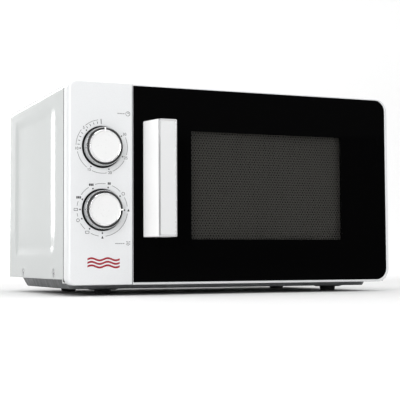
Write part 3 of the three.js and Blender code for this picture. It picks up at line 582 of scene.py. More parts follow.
def make_base_pan():
    """Rim, sloping wall and sunk floor as one lofted sheet, with a dome at each foot."""
    rim_z, floor_z = 21, 7.8
    front, back = pan_low[1], pan_high[1]
    side = pan_high[0]

    def ring(x, y0, y1, r, z):
        return across("z", rounded(-x, y0, x, y1, r, 8), z)

    rings = [
        ring(side, front, back, 2, 33.5), ring(side, front, back, 2, rim_z + 0.6),
        ring(side - 0.6, front + 0.6, back - 0.6, 2, rim_z),
    ]
    wall = [
        (209.5, -113, 138, 13, rim_z), (209, -112.4, 137, 13, rim_z - 0.8),
        (205, -108.6, 124, 11, floor_z + 1.2), (203.6, -107.6, 121.6, 10, floor_z),
    ]
    rings += [ring(*step) for step in wall]
    count = len(rings[0])
    last = (len(rings) - 1) * count

    def close_floor(shape):
        shape.faces.new([shape.verts[last + i] for i in range(count)])
        face_out(shape)

    shell = reworked(loft_mesh(rings, caps=False), close_floor)
    thicken(add_piece("pan_sheet", shell, "pan_zinc", "chassis", "zinc_steel", "base_pan"), PAN_SHEET)
    for index, (x, y, _) in enumerate(FEET, 1):
        dome = [
            (22.5, floor_z + 0.4), (22.3, floor_z - 0.1), (20.5, floor_z - 0.9), (16.5, floor_z - 2.1),
            (14.2, 5.75), (13, 5.7), (3.6, 5.7), (3.6, 6.7), (12.6, 6.7), (21.5, floor_z + 0.4),
        ]
        add_piece(
            "pan_boss_%d" % index, lathe_mesh(dome, 64, "z", (x, y, 0), closed=True), "pan_zinc",
            "chassis", "zinc_steel", smooth=50,
        )
        pad = [
            (0.01, 0.0), (5.2, 0.0), (5.5, 0.5), (7.2, 0.5), (7.5, 0.0), (8.9, 0.0), (9.6, 0.35),
            (9.9, 1.0), (10.5, 4.6), (10.3, 5.2), (9.8, 5.4), (3.0, 5.4), (3.0, 7), (4.6, 7), (3.2, 8.6),
            (0.01, 8.6),
        ]
        add_piece(
            "foot_pad_%d" % index, lathe_mesh(pad, 48, "z", (x, y, 0)), "rubber", "chassis", "rubber",
            "foot_%d" % index,
        )


make_base_pan()

# ------------------------------------------------------------------ back panel


REAR_SCREWS = ((-212, 30), (-60, 28), (110, 28), (212, 60), (212, 170), (-212, 120), (-212, 236), (60, 246))


def make_rear_panel():
    """Stamped back sheet with air slots, its cable sleeve and its screws."""
    front, back = rear_low[1], rear_low[1] + 1.0
    low, high = corners("cavity_left_wall")[0], corners("cavity_right_wall")[1]
    x0, x1 = low[0] + 5, high[0] - 5
    z0, z1 = 43, 233
    depth = rear_high[1]
    edge = 1.0

    def field(inset, r):
        return shrunk((x0, z0, x1, z1), inset, r, 10)

    plate_outline = rounded(rear_low[0], rear_low[2], rear_high[0], rear_high[2], (0.5, 0.5, 9, 9), 10)
    rings = [
        across("y", plate_outline, back), across("y", field(-1.5, 15), back),
        across("y", field(-0.3, 14), back + 0.3),
    ]
    rings += [across("y", field(10 * t, 14 - 2 * t), back + (depth - back) * t) for t in (0.06, 0.5, 0.9)]
    rings += [
        across("y", field(10, 12), depth - 0.3), across("y", field(11.2, 11), depth),
        across("y", field(40, 6), depth),
    ]
    inner = [across("y", field(40, 6), depth - edge), across("y", field(11.4, 11), depth - edge)]
    inner += [
        across("y", field(10 * t + 1, 13 - 2 * t), back - 0.6 + (depth - back - 0.4) * t)
        for t in (0.9, 0.5, 0.06)
    ]
    inner += [across("y", field(0.2, 13), front), across("y", plate_outline, front)]
    count = len(plate_outline)
    middle = (len(rings) - 1, len(rings))

    def close_middle(shape):
        for level in middle:
            shape.faces.new([shape.verts[level * count + i] for i in range(count)])
        bridge = [f for f in shape.faces if {v.index // count for v in f.verts} == set(middle)]
        bmesh.ops.delete(shape, geom=bridge, context="FACES_ONLY")
        face_out(shape)

    sheet = reworked(loft_mesh(rings + inner, wrap=True, caps=False), close_middle)
    fan = node_centre("fan_blade")
    slots = []
    for row in range(9):
        for column in range(3):
            cx = fan[0] - 27 + column * 27
            cz = fan[2] - 36 + row * 9
            outline = rounded(cx - 11, cz - 1.7, cx + 11, cz + 1.7, 1.69, 4)
            slots.append(prism("y", outline, front - 2, back + 2))
    gland = node_centre("cord_gland")
    slots.append(rod_mesh("y", gland[0], gland[2], 6.9, front - 2, back + 2, 48))
    made = add_piece("back_sheet", carved(sheet, *slots), "zinc", "chassis", "zinc_steel", "rear_panel")
    made.data.materials.append(M["cavity"])
    for polygon in made.data.polygons:
        cx, _, cz = (v / MM for v in polygon.center)
        if polygon.normal.y < -0.05 and low[0] - 2 < cx < high[0] + 2 and z0 - 8 < cz < z1 + 8:
            polygon.material_index = 1
    profile = [
        (4, -8), (6.7, -8), (6.7, 0.3), (9.1, 0.3), (9.5, 0.7), (9.4, 2.0), (8.2, 3.8), (7.2, 4.4),
        (4.9, 4.4), (4.3, 4.0), (4, 3.2),
    ]
    sleeve = lathe_mesh(profile, 64, "y", (gland[0], back, gland[2]), closed=True)
    add_piece("cable_sleeve", sleeve, "black", "chassis", "black_plastic", "cord_gland")
    head = [
        (0.01, 1.5), (2.0, 1.45), (3.1, 1.1), (3.5, 0.5), (3.55, 0.05), (1.6, 0.0), (1.6, -4), (0.01, -4),
    ]
    for index, (sx, sz) in enumerate(REAR_SCREWS, 1):
        screw = lathe_mesh(head, 32, "y", (sx, back, sz))
        for a, b in ((1.9, 0.4), (0.4, 1.9)):
            screw = carved(screw, box_mesh(sx - a, sx + a, back + 0.6, back + 3, sz - b, sz + b))
        add_piece("back_screw_%d" % index, screw, "steel_screw", "chassis", "zinc_steel")


make_rear_panel()

# ------------------------------------------------------------------ control panel


def make_control_panel():
    """Pearl moulding with a round well behind each knob, lined with a near-black skin that is painted shade.
    """
    x0, x1 = panel_low[0], panel_high[0]
    z0, z1 = panel_low[2], panel_high[2]
    front, back = panel_low[1], panel_high[1] - 0.3

    def outline(inset):
        r = 9 - min(inset, 7)
        return rounded(x0 + inset, z0 + inset, x1 - min(inset, 0.8), z1 - inset, (r, 0.8, 0.8, r), 10)

    edge = 4.5
    rings = []
    for inset, depth in bevel_steps(edge, 8):
        tight = min(inset, 1.2 * inset / edge)
        corner_radii = (9 - tight, 0.8, 0.8, 9 - tight)
        face = rounded(x0 + inset, z0 + tight, x1 - tight * 0.5, z1 - tight, corner_radii, 10)
        rings.append(across("y", face, front + depth))
    rings += [across("y", outline(0), back - 0.4), across("y", outline(0.4), back)]
    rings += [across("y", outline(2.4), y) for y in (back, front + 2.4)]
    shell = loft_mesh(rings)
    wells = [rod_mesh("y", x, z, 27.4, front + 1.2, front + 8.4, 96) for x, _, z in KNOBS.values()]
    shell = carved(shell, *wells, operation="UNION")
    well = [
        (0.01, -1), (25.9, -1), (25.9, -0.1), (25.25, 0.35), (25.0, 1.0), (25.0, 6), (4.5, 6),
        (4.5, 10), (0.01, 10),
    ]
    cuts = [lathe_mesh(well, 96, "y", (x, front, z)) for x, _, z in KNOBS.values()]
    add_piece(
        "panel_moulding", carved(shell, *cuts), "panel", "chassis", "panel_plastic", "control_panel",
        smooth=30,
    )
    # A near-black skin over each well's wall and floor: painted shade in the recess round the knob.
    skin = [(24.97, 0.9), (24.97, 5.97), (4.6, 5.97), (4.6, 5.9), (24.9, 5.9), (24.9, 0.9)]
    for name, (x, _, z) in KNOBS.items():
        lining = lathe_mesh(skin, 96, "y", (x, front, z), closed=True)
        add_piece(name + "_well_shade", lining, "gap", "chassis", "black_plastic")


make_control_panel()


def make_gap_seal():
    """A near-black strip behind the joint between casing and front mouldings: painted shade in the gap."""
    y0, y1 = panel_high[1] - 0.2, case_low[1] + 1.3
    x = case_high[0] - 0.2
    outline = [(-x, 17), (-x, case_high[2] - 7), (-x + 5, case_high[2] - 2), (200, case_high[2] - 2)]
    inner = [
        (200, case_high[2] - 5), (-x + 6.2, case_high[2] - 5), (-x + 3, case_high[2] - 8.2), (-x + 3, 17),
    ]
    strip = prism("y", outline + inner, y0, y1)
    rub_edges(add_piece("gap_shade_strip", strip, "gap", "chassis", "black_plastic"), 0.15)


make_gap_seal()

# ------------------------------------------------------------------ knobs


def make_knob(name, pointer):
    """Bright tapered skirt, a black ring painted as the groove's shade, silver bevel ring and dished white
    cap.
    """
    x, _, z = KNOBS[name]
    place = (x, panel_low[1], z)
    body = name + "_knob"

    def turned(part, profile, look, slot, *nodes, closed=True, smooth=50):
        mesh = lathe_mesh(profile, 128, "front", place, closed=closed)
        add_piece(name + part, mesh, look, body, slot, *nodes, smooth=smooth)

    skirt = [
        (3.3, -4.5), (23.2, -4.5), (23.8, -4.1), (23.8, 0.0), (23.6, 2.0), (22.9, 9.2), (22.7, 9.7),
        (22.2, 9.9), (21.7, 9.8), (21.5, 9.4), (21.5, 5.2), (3.3, 5.2),
    ]
    turned("_skirt", skirt, "skirt", "chrome", name + "_knob_skirt")
    # A black ring between skirt and bevel: painted shade in place of the groove's shadow.
    ring = [
        (20.3, 5.4), (21.4, 5.4), (21.4, 9.9), (22.0, 10.2), (21.7, 10.7), (21.0, 11.1), (20.5, 11.1),
        (20.3, 10.9),
    ]
    turned("_groove_shade_ring", ring, "painted_groove_shade", "black_plastic")
    bevel = [(18.6, 5.4), (20.2, 5.4), (20.2, 10.5), (20.0, 10.9), (19.1, 12.0), (18.85, 12.15), (18.6, 12.0)]
    turned("_bevel_ring", bevel, "chrome", "chrome")
    cap = [
        (0.01, 5.4), (18.5, 5.4), (18.5, 11.8), (18.3, 12.1), (17.9, 12.2), (17.5, 12.1), (17.1, 11.6),
        (16.6, 11.3), (12, 11.1), (0.01, 11.0),
    ]
    turned("_cap", cap, "cap", "white_plastic", name + "_knob_cap", closed=False, smooth=60)
    bar = (-0.9, 17.0, 0.9, 22.5)
    rib = slab_mesh(lambda inset: shrunk(bar, inset, 0.5, 3), "y", -12.2, -9.0, 0.4, 0.1)
    turn = Matrix.Rotation(math.radians(-pointer), 4, "Y")
    rib.transform(Matrix.Translation([v * MM for v in place]) @ turn)
    add_piece(name + "_pointer", rib, "white", body, "white_plastic")


make_knob("timer", 0)
make_knob("power", -90)

# ------------------------------------------------------------------ printed marks

INK = 0.06
PRINT_Y = panel_low[1] - INK


def polar(name, degrees, radius):
    """A place on a dial; degrees run counterclockwise from the top."""
    x, _, z = KNOBS[name]
    angle = math.radians(90 + degrees)
    return x + radius * math.cos(angle), z + radius * math.sin(angle)


def patch(points):
    """A flat printed shape, sunk a little into the panel's face."""
    return prism("y", points, PRINT_Y, panel_low[1] + 0.02)


def stroke(a, b, width):
    along = Vector((b[0] - a[0], b[1] - a[1])).normalized()
    aside = Vector((-along.y, along.x)) * width / 2
    ends = ((a, 1), (a, -1), (b, -1), (b, 1))
    return patch([(x + side * aside.x, z + side * aside.y) for (x, z), side in ends])


def arc_stroke(name, start, end, radius, width):
    steps = max(4, int(abs(end - start) / 3))
    angles = [start + (end - start) * i / steps for i in range(steps + 1)]
    outer = [polar(name, a, radius + width / 2) for a in angles]
    inner = [polar(name, a, radius - width / 2) for a in reversed(angles)]
    return patch(outer + inner)


def number(text, x, z, size):
    data = bpy.data.curves.new("number", "FONT")
    data.body = text
    data.size = size * MM
    data.align_x = "CENTER"
    data.align_y = "CENTER"
    data.extrude = INK * MM / 2
    written = placed("number", data)
    place = Matrix.Translation((x * MM, (PRINT_Y + INK / 2) * MM, z * MM))
    written.matrix_world = place @ Matrix.Rotation(math.pi / 2, 4, "X")
    mesh = settled(written)
    mesh.transform(written.matrix_world)
    mesh.materials.clear()
    bpy.data.objects.remove(written)
    return mesh


def print_on(name, meshes, ink):
    add_piece(name, merged(*meshes), ink, "chassis", "black_plastic")


RING_R = 31.4
DOT_R = 27.6


def print_timer_dial():
    marks = {5: 46, 10: 95, 15: 149, 20: 197, 25: 247, 30: 300}
    ink = [stroke(polar("timer", 3, 27.5), polar("timer", 3, 33.5), 0.9)]
    for minutes, degrees in marks.items():
        ink.append(number(str(minutes), *polar("timer", degrees, RING_R + 0.6), 4.8))
        ink.append(patch(circle(*polar("timer", degrees, DOT_R), 0.85, 16)))
    for tick in range(1, 10):
        if tick != 5:
            degrees = 3 + tick * 9.2
            ink.append(stroke(polar("timer", degrees, 28.2), polar("timer", degrees, 30.8), 0.7))
    print_on("timer_marks", ink, "ink")
    edges = [95, 149, 197, 247, 300]
    arcs = [arc_stroke("timer", a + 7, b - 7, RING_R, 0.5) for a, b in zip(edges, edges[1:])]
    arcs.append(arc_stroke("timer", 9, 40, RING_R + 1.2, 0.5))
    arcs.append(arc_stroke("timer", 53, 88, RING_R + 1.2, 0.5))
    print_on("timer_ring", arcs, "pale_ink")


def bar_icon(x, z, count=3):
    places = [x + (bar - (count - 1) / 2) * 2.0 for bar in range(count)]
    return [stroke((bx, z - 1.4), (bx, z + 1.4), 1.6) for bx in places]


def ring_icon(x, z):
    return [ring_patch(x, z, 1.8, 0.5)]


def box_icon(x, z):
    ends = [(x - 2.2, z - 1.3), (x + 2.2, z - 1.3), (x + 2.2, z + 1.3), (x - 2.2, z + 1.3)]
    return [stroke(a, b, 0.5) for a, b in zip(ends, ends[1:] + ends[:1])]


def wedge_icon(x, z):
    return [patch([(x - 1.5, z - 1.5), (x + 1.5, z - 1.5), (x, z + 1.7)])]


def print_power_dial():
    icons = {
        -90: wedge_icon, -53: ring_icon, -15: lambda x, z: bar_icon(x, z, 2), 25: bar_icon, 64: bar_icon,
        90: box_icon, 113: ring_icon, 145: box_icon, 180: wedge_icon,
    }
    places = list(icons)
    ink = []
    for degrees, icon in icons.items():
        ink += icon(*polar("power", degrees, RING_R + 1.2))
        ink.append(patch(circle(*polar("power", degrees, DOT_R), 0.95, 16)))
    print_on("power_marks", ink, "ink")
    arcs = [arc_stroke("power", a + 8, b - 8, RING_R, 0.5) for a, b in zip(places, places[1:]) if b - a > 20]
    arcs.append(arc_stroke("power", 187, 263, RING_R, 0.5))
    print_on("power_ring", arcs, "pale_ink")


def ring_patch(x, z, r, width):
    outer, inner = circle(x, z, r + width / 2, 40), circle(x, z, r - width / 2, 40)
    return patch(outer + outer[:1] + inner[:1] + inner[::-1])


def wave(x0, x1, z, height, width, periods=1.5):
    steps = 36
    line = [
        (x0 + (x1 - x0) * i / steps, z + height * math.sin(periods * TAU * i / steps))
        for i in range(steps + 1)
    ]
    return patch([(x, y - width / 2) for x, y in line] + [(x, y + width / 2) for x, y in reversed(line)])


def dashes(x, z, count):
    """Short dashes in a row, in place of small lettering."""
    return [stroke((x + i * 2.4, z), (x + 1.4 + i * 2.4, z), 0.9) for i in range(count)]


def print_icons():
    clock_x, clock_z = -145.6, 218.4
    ink = [
        ring_patch(clock_x, clock_z, 2.6, 0.5),
        stroke((clock_x, clock_z - 0.1), (clock_x, clock_z + 1.8), 0.45),
        stroke((clock_x - 0.1, clock_z), (clock_x + 1.4, clock_z + 0.6), 0.45),
    ]
    ink += dashes(clock_x - 13, clock_z, 4)
    power_x, power_z = -145.4, 62.4
    ink += [wave(power_x - 2.6, power_x + 2.6, power_z + dz, 0.5, 0.5) for dz in (-1.6, 0.2, 2.0)]
    ink += dashes(power_x - 16, power_z, 5)
    print_on("panel_icons", ink, "ink")
    mark_x0, mark_x1 = -196.0, -156.0
    waves = [wave(mark_x0, mark_x1, 39.5 + dz, 1.3, 2.3, 2) for dz in (-4.2, 0.0, 4.2)]
    print_on("panel_mark", waves, "red_ink")


print_timer_dial()
print_power_dial()
print_icons()

# ------------------------------------------------------------------ door


def make_door_bezel():
    """The moulded shell as one loft round its own section, then cut for the hinges."""
    x0, x1, z0, z1 = door_low[0], door_high[0], door_low[2], door_high[2]
    front, back = door_low[1], door_high[1]
    border = {
        "left": 0.35, "right": x1 - pane_high[0] - 0.25, "low": pane_low[2] - z0 - 0.25,
        "high": z1 - pane_high[2] - 0.25,
    }

    def outer(inset):
        return rounded(
            x0 + min(inset, 0.3), z0 + inset, x1 - inset, z1 - inset, (0.8, 17 - inset, 17 - inset, 0.8),
            12,
        )

    def lip(extra):
        return rounded(
            x0 + border["left"] + extra, z0 + border["low"] + extra, x1 - border["right"] - extra,
            z1 - border["high"] - extra, (0.7, 15 - extra, 15 - extra, 0.7), 12,
        )

    def inner(inset):
        r = 15 - min(inset, 10)
        return shrunk((x0, z0, x1, z1), inset, (0.7, r, r, 0.7), 12)

    section = [
        (outer(2.2 * (1 - math.sin(a))), front + 2.2 * (1 - math.cos(a)))
        for a in (0.0, 0.4, 0.8, 1.2, math.pi / 2)
    ]
    section += [
        (outer(0), back - 1.5), (outer(0.4), back - 0.3), (outer(0.8), back), (inner(2.4), back),
        (inner(2.4), front + 6.7),
    ]
    section += [
        (inner(12), front + 6.7), (inner(12), front + 4.3), (lip(0.0), front + 4.3),
        (lip(0.0), front + 0.3), (lip(-0.3), front),
    ]
    shell = swept(section)
    axis_x, axis_y = (v / MM for v in frame_joint("door_hinge")["pos_m"][:2])
    blocks = []
    cuts = []
    for high_end in (True, False):
        block_z = (z1 - 31, z1 - 4) if high_end else (z0 + 4, z0 + 31)
        plan = rounded(axis_x - 7, front + 6.6, x1 - 1.5, back - 0.4, (0.3, 0.3, 5, 0.3), 6)
        blocks.append(prism("z", plan, *block_z))
        pocket_z = (z1 - 3.8, z1 + 2) if high_end else (z0 - 2, z0 + 3.8)
        cuts.append(box_mesh(204, x1 + 2, front + 4.4, back + 2, *pocket_z))
        hole_z = (z1 - 26, z1 - 3) if high_end else (z0 + 3, z0 + 26)
        cuts.append(rod_mesh("z", axis_x, axis_y, 2.3, *hole_z))
    shell = carved(shell, *blocks, operation="UNION")
    for tool in cuts:
        shell = carved(shell, tool)
    add_piece("door_bezel", shell, "panel", "door", "panel_plastic", "door_frame", smooth=30)


def frame_joint(name):
    return next(j for j in frame["record"]["behaviour"]["joints"] if j["name"] == name)


def make_pane():
    """Black printed glass with a tinted, see-through window let into it."""
    x0, x1, z0, z1 = pane_low[0], pane_high[0], pane_low[2], pane_high[2]
    front, back = pane_low[1], pane_high[1]

    def outline(inset):
        return shrunk((x0, z0, x1, z1), inset, (1, 15 - inset, 15 - inset, 1), 12)

    def window(inset):
        return shrunk(WINDOW, inset, 1.5, 12)

    edge = bevel_steps(0.7, 3)
    rings = [across("y", outline(inset), front + depth) for inset, depth in edge]
    rings += [across("y", outline(0), back), across("y", window(0), back), across("y", window(0), front)]
    add_piece(
        "door_pane", loft_mesh(rings, wrap=True), "black_glass", "door", "black_glass", "door_glass",
        smooth=30,
    )
    middle = prism("y", window(0.01), front, front + 0.6)
    add_piece("door_window", middle, "tint", "door", "black_glass")


def perforated_sheet(x0, x1, z0, z1, y, thick, pitch, radius):
    """A sheet with staggered round holes: each hexagonal cell is a ring of faces."""
    vertices, faces = [], []
    row_step = pitch * math.sqrt(3) / 2
    rows = int((z1 - z0) / row_step)
    columns = int((x1 - x0) / pitch)
    cell = pitch / math.sqrt(3)
    for row in range(rows):
        for column in range(columns):
            cx = x0 + pitch * (column + 0.5 + 0.5 * (row % 2))
            cz = z0 + row_step * (row + 0.5)
            base = len(vertices)
            for i in range(6):
                angle = TAU * (i + 0.5) / 6
                outer = (cx + cell * math.cos(angle), cz + cell * math.sin(angle))
                inner = (cx + radius * math.cos(angle), cz + radius * math.sin(angle))
                vertices += [
                    (outer[0], y, outer[1]), (inner[0], y, inner[1]), (inner[0], y + thick, inner[1]),
                ]
            for i in range(6):
                a = base + 3 * i
                b = base + 3 * ((i + 1) % 6)
                faces += [(a, b, b + 1, a + 1), (a + 1, b + 1, b + 2, a + 2)]

    def weld(shape):
        bmesh.ops.remove_doubles(shape, verts=shape.verts, dist=0.02 * MM)

    return mesh_of(vertices, faces, weld)


make_door_bezel()
make_pane()


def make_door_inside():
    """Perforated steel tray behind the window, and the ring that covers the choke."""
    x0, x1, z0, z1 = tray_low[0], tray_high[0], tray_low[2], tray_high[2]
    front, back = tray_low[1], tray_high[1]
    field = (-75.0, 52.0, 163.0, 209.0)

    def tray(inset):
        return shrunk((x0, z0, x1, z1), inset, 3.5, 6)

    opening = rounded(*field, 1.0, 6)
    section = [
        (tray(1.2), front), (tray(0.35), front + 0.35), (tray(0), front + 1.2), (tray(0), back),
        (tray(1), back),
    ]
    section += [(tray(1), front + 1), (opening, front + 1), (opening, front)]
    dish = swept(section)
    add_piece("door_tray", dish, "screen", "door", "cavity_paint", "door_screen")
    mesh = perforated_sheet(field[0], field[2], field[1], field[3], front + 0.2, 0.6, HOLE_PITCH, HOLE_R)
    add_piece("door_perforation", mesh, "screen", "door", "cavity_paint")

    within = (field[0] + 1, field[1] + 1, field[2] - 1, field[3] - 1)
    film = slab_mesh(lambda inset: shrunk(within, inset, 2, 6), "y", front + 1.05, front + 1.35, 0.1, 0.1)
    add_piece("door_film", film, "film", "door", "black_plastic")

    cover_front, cover_back = cover_low[1], cover_high[1]

    def outside(inset):
        return shrunk((cover_low[0], cover_low[2], cover_high[0], cover_high[2]), inset, 4, 10)

    def inside(inset):
        return shrunk(field, -inset, 8, 10)

    section = [(outside(0.6), cover_back), (outside(0), cover_back - 0.4), (outside(0), cover_front)]
    section += [(inside(0.05), cover_front), (inside(0.05), cover_back - 0.7), (inside(1.2), cover_back)]
    ring = swept(section)
    latch_x = node_centre("door_latch")[0]
    hole_x, hole_y = (latch_x - 2.6, latch_x + 2.6), (cover_front - 2, cover_back + 2)
    holes = [box_mesh(*hole_x, *hole_y, z - 9.5, z + 11.5) for z in LATCH_HOOKS]
    add_piece("choke_ring", carved(ring, *holes), "black", "door", "black_plastic", "choke_cover")


# ------------------------------------------------------------------ handle


def make_handle():
    """Hollow white grip open towards the window, a bright rim line and a silver insert."""
    x0, x1 = handle_low[0], handle_high[0]
    face, back = handle_low[1], handle_high[1]
    z0, z1 = handle_low[2], handle_high[2]
    left_front = x0 + 8

    def plan(inset):
        return [
            (x0 + inset, back), (x0 + inset, back - 1), (x0 + 6.9 + inset * 0.98, face + 3.2),
            (left_front + 0.5 + inset, face + 0.9 + inset), (left_front + 2.0 + inset, face + inset),
            (x1 - 1.2 - inset, face + inset), (x1 - 0.3 - inset, face + 0.3 + inset),
            (x1 - inset, face + 1.2 + inset), (x1 - inset, back),
        ]

    rings = [across("z", plan(inset), z0 + depth) for inset, depth in bevel_steps(1.4, 4)]
    rings += [across("z", plan(inset), z1 - depth) for inset, depth in reversed(bevel_steps(1.4, 4))]
    block = loft_mesh(rings)
    room = [
        (x0 + 3.4, back + 1), (x0 + 10.8, face + 3.6), (x0 + 12.6, face + 3.4), (x1 + 1, face + 3.4),
        (x1 + 1, back + 1),
    ]
    cutter = prism("z", room, z0 + 3, z1 - 3)
    add_piece(
        "handle_grip", carved(block, cutter), "white", "door", "white_plastic", "handle_body", smooth=32,
    )
    front, trim_back = trim_low[1], trim_high[1]

    def rim(inset):
        return shrunk((trim_low[0], trim_low[2], trim_high[0], trim_high[2]), inset, 1.6, 6)

    section = [
        (rim(0.5), front), (rim(0.15), front + 0.15), (rim(0), front + 0.5), (rim(0), trim_back),
        (rim(1.6), trim_back), (rim(1.6), front + 0.2), (rim(1.3), front),
    ]
    line = swept(section)
    add_piece("handle_rim", line, "chrome", "door", "chrome", "handle_trim", smooth=40)
    insert = slab_mesh(lambda inset: rim(2.0 + inset), "y", front, trim_back, 0.45, 0.2)
    add_piece("handle_insert", insert, "insert", "door", "panel_plastic", "handle_front", smooth=40)


# ------------------------------------------------------------------ cavity


def make_cavity():
    """One folded liner with rounded corners in place of the four flat walls."""
    left = corners("cavity_left_wall")
    x0, x1 = left[1][0], corners("cavity_right_wall")[0][0]
    z0, z1 = corners("cavity_floor")[1][2], corners("cavity_ceiling")[0][2]
    front, back = left[0][1], left[1][1]

    def tube(grow, r):
        return rounded(x0 - grow, z0 - grow, x1 + grow, z1 + grow, r, 8)

    section = [
        (tube(0, 11), front + 0.4), (tube(0, 11), back), (tube(0.9, 12), back), (tube(0.9, 12), front),
        (tube(0.4, 11.4), front),
    ]
    sleeve = swept(section)
    duct = corners("waveguide")
    feed = box_mesh(x0 - 3, x0 + 3, duct[0][1] + 10, duct[1][1] - 10, duct[0][2] + 7, duct[0][2] + 47)
    axle = node_centre("turntable_coupler")
    holes = [feed, rod_mesh("z", axle[0], axle[1], 6, z0 - 4, z0 + 4)]
    for row in range(7):
        for column in range(9):
            y = -95 + column * 6 + (row % 2) * 3
            holes.append(rod_mesh("x", y, 170 + row * 5.2, 1.7, x0 - 3, x0 + 3, 12))
            holes.append(rod_mesh("x", y + 150, 150 + row * 5.2, 1.7, x1 - 3, x1 + 3, 12))
    add_piece(
        "cavity_liner", carved(sleeve, *holes), "cavity", "chassis", "cavity_paint", "cavity_floor",
        "cavity_ceiling", "cavity_left_wall", "cavity_right_wall",
    )
    low, high = corners("waveguide_cover")
    face = (low[1], low[2], high[1], high[2])
    cover = slab_mesh(lambda inset: shrunk(face, inset, 4, 6), "x", high[0], low[0], 0.15, 0.1)
    add_piece("feed_cover", cover, "mica", "chassis", "mica", "waveguide_cover")


# ------------------------------------------------------------------ turntable


def make_turntable():
    """Glass plate with a swept-up rim, and a roller ring with three grooved wheels."""
    under = corners("glass_turntable")[0][2]
    x, y, _ = node_centre("turntable_coupler")
    profile = [
        (0.01, 0.0), (70, 0.0), (70.6, -0.0), (100, 0.05), (104, 0.4), (110, 1.6), (114, 3.2),
        (118, 5.5), (120.6, 7.6), (122.1, 9.2), (122.45, 10.2), (121.9, 10.9), (120.8, 11.0),
        (119.6, 10.4), (116, 8.2), (112, 6.2), (108, 4.9), (104, 4.15), (100, 4.0), (60, 4.0), (0.01, 4.0),
    ]
    plate = lathe_mesh([(r, h + under) for r, h in profile], 160, "z", (x, y, 0))
    add_piece("glass_plate", plate, "clear", "turntable", "clear_glass", "glass_turntable", smooth=50)
    axis_z = frame_joint("roller_ring_turn")["pos_m"][2] / MM
    section = [
        (72.2, -1.9), (72.8, -2.4), (79.2, -2.4), (79.8, -1.9), (79.8, 1.9), (79.2, 2.4), (77.4, 2.4),
        (76.9, 1.2), (75.1, 1.2), (74.6, 2.4), (72.8, 2.4), (72.2, 1.9),
    ]
    parts = [lathe_mesh([(r, h + axis_z) for r, h in section], 120, "z", (x, y, 0), closed=True)]
    wheel_profile = [
        (1.85, -3.7), (3.0, -3.8), (3.4, -3.0), (5.2, -3.0), (5.7, -3.8), (6.3, -3.7), (6.65, -3.0),
        (6.7, 0), (6.65, 3.0), (6.3, 3.7), (5.7, 3.8), (5.2, 3.0), (3.4, 3.0), (3.0, 3.8), (1.85, 3.7),
    ]
    axle_profile = [
        (0.01, 79.4), (1.45, 79.4), (1.45, 92.4), (2.2, 92.5), (2.2, 93.0), (0.9, 93.2), (0.01, 93.2),
    ]
    hub_profile = [(0.01, 78.9), (3.2, 78.9), (3.2, 81.5), (2.6, 82.2), (0.01, 82.2)]
    for index in range(1, 4):
        place = Vector(frame_joint("roller_%d_spin" % index)["pos_m"])
        heading = math.atan2(place.y - y * MM, place.x - x * MM)
        turn = Matrix.Translation((x * MM, y * MM, axis_z * MM)) @ Matrix.Rotation(heading, 4, "Z")
        axle = lathe_mesh(axle_profile, 32, "x")
        hub = lathe_mesh(hub_profile, 32, "x")
        for part in (axle, hub):
            part.transform(turn)
            parts.append(part)
        wheel = lathe_mesh(wheel_profile, 56, "x", (88, 0, 0), closed=True)
        wheel.transform(turn)
        roller = "roller_%d" % index
        add_piece("wheel_%d" % index, wheel, "white", roller, "white_plastic", roller)
    add_piece("support_ring", merged(*parts), "white", "roller_ring", "white_plastic", "roller_ring")


def make_latch_spring():
    """A fine coil in place of the latch spring."""
    low, high = corners("latch_spring")
    x, y, _ = node_centre("latch_spring")
    wire, turns, steps = 0.45, 5, 150
    coil = (high[0] - low[0]) / 2 - wire
    rings = []
    for i in range(steps + 1):
        t = i / steps
        angle = TAU * turns * t
        rise = low[2] + wire + (high[2] - low[2] - 2 * wire) * t
        centre = Vector((x + coil * math.cos(angle), y + coil * math.sin(angle), rise))
        out = Vector((math.cos(angle), math.sin(angle), 0))
        up = Vector((0, 0, 1))
        around = [TAU * k / 10 for k in range(10)]
        rings.append([tuple(centre + wire * (out * math.cos(a) + up * math.sin(a))) for a in around])
    piece = add_piece("latch_coil", loft_mesh(rings), "steel_screw", "door", "zinc_steel", "latch_spring")
    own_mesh(piece)


make_latch_spring()
make_door_inside()
make_handle()
make_cavity()
make_turntable()

# ------------------------------------------------------------------ carried-over nodes

CARRIED = {
    "front_frame": "cavity", "waveguide": "aluminium", "magnetron_yoke": "zinc",
    "magnetron_tube": "aluminium", "transformer_core": "zinc", "transformer_coil": "copper",
    "high_voltage_capacitor": "aluminium",
    "fan_shroud": "white", "fan_motor": "zinc", "fan_blade": "white", "filter_board": "board",
    "lamp_bulb": "clear", "timer_unit": "zinc", "timer_bell": "zinc", "interlock_board": "white",
    "primary_switch": "grey", "secondary_switch": "grey", "monitor_switch": "grey", "timer_shaft": "zinc",
    "power_shaft": "zinc", "turntable_motor": "zinc", "turntable_coupler": "white", "door_latch": "grey",
    "hinge_upper": "zinc", "hinge_lower": "zinc",
}


def dress_carried_nodes():
    for node, look in CARRIED.items():
        made = frame["nodes"][node]
        for slot in made.material_slots:
            slot.material = M[look]
        if not made.material_slots:
            made.data.materials.append(M[look])


dress_carried_nodes()

# ------------------------------------------------------------------ stage and light


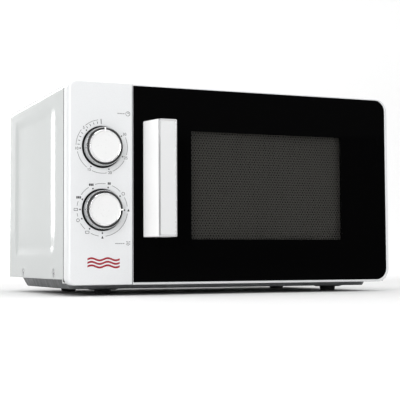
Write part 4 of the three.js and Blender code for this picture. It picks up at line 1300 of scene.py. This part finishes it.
def make_stage():
    """A pale sweep: level floor that curves up far behind the object. Its far part glows, painted light that
    grows with distance behind the object.
    """
    rows = [(-3.5, 0.0), (1.6, 0.0)]
    rows += [(1.6 + 1.2 * math.sin(a), 1.2 * (1 - math.cos(a))) for a in (0.2 * i for i in range(1, 8))]
    rows.append((2.85, 5.0))
    vertices = [(x, y, z) for y, z in rows for x in (-6.0, 7.0)]
    faces = [(2 * i, 2 * i + 1, 2 * i + 3, 2 * i + 2) for i in range(len(rows) - 1)]
    mesh = bpy.data.meshes.new("mesh")
    mesh.from_pydata(vertices, [], faces)
    paint = Paint("floor_paint", (0.93, 0.93, 0.93), 0.9, Specular_IOR_Level=0.1)
    paint.vary_color(paint.noise(3), 0.004)
    # Painted light: the sweep's white glow rises from nothing near the object to its full strength far behind
    # it.
    paint.set("Emission Color", (1, 1, 1, 1))
    split = paint.node("SeparateXYZ")
    paint.link(paint.coords.outputs["Object"], split.inputs["Vector"])
    glow_by_distance = paint.node(
        "MapRange", interpolation_type="SMOOTHSTEP", From_Min=0.3, From_Max=1.6, To_Max=0.3,
    )
    paint.link(split.outputs["Y"], glow_by_distance.inputs["Value"])
    paint.link(glow_by_distance.outputs["Result"], paint.shader.inputs["Emission Strength"])
    floor = add_mesh("studio_sweep", mesh, paint.material)


def add_lamp(name, place, target, size, power):
    """A rectangular soft light that faces its target."""
    data = bpy.data.lights.new(name, "AREA")
    data.shape = "RECTANGLE"
    data.size, data.size_y = size
    data.energy = power
    lamp = placed(name, data)
    lamp.location = place
    lamp.rotation_euler = (Vector(target) - Vector(place)).to_track_quat("-Z", "Y").to_euler()
    return lamp


def set_world(strength):
    world = bpy.data.worlds.new("studio")
    world.use_nodes = True
    tree = world.node_tree
    sky = tree.nodes["Background"]
    sky.inputs["Color"].default_value = (1, 1, 1, 1)
    sky.inputs["Strength"].default_value = strength
    bpy.context.scene.world = world


make_stage()
set_world(0.5)
add_lamp("overhead", (0.0, -0.3, 2.2), (0, 0, 0.1), (2.4, 2.0), 24)
add_lamp("front_left", (-1.55, -1.75, 0.85), (-0.1, 0, 0.15), (0.6, 1.6), 22)
add_lamp("front_right", (1.4, -2.6, 1.2), (0, 0, 0.12), (1.4, 1.4), 5)
strip = add_lamp("rear_strip", (-0.35, 1.35, 0.5), (-0.22, -0.07, 0.15), (0.12, 0.8), 1.7)
strip.visible_diffuse = False
bpy.context.scene.view_settings.view_transform = "Standard"
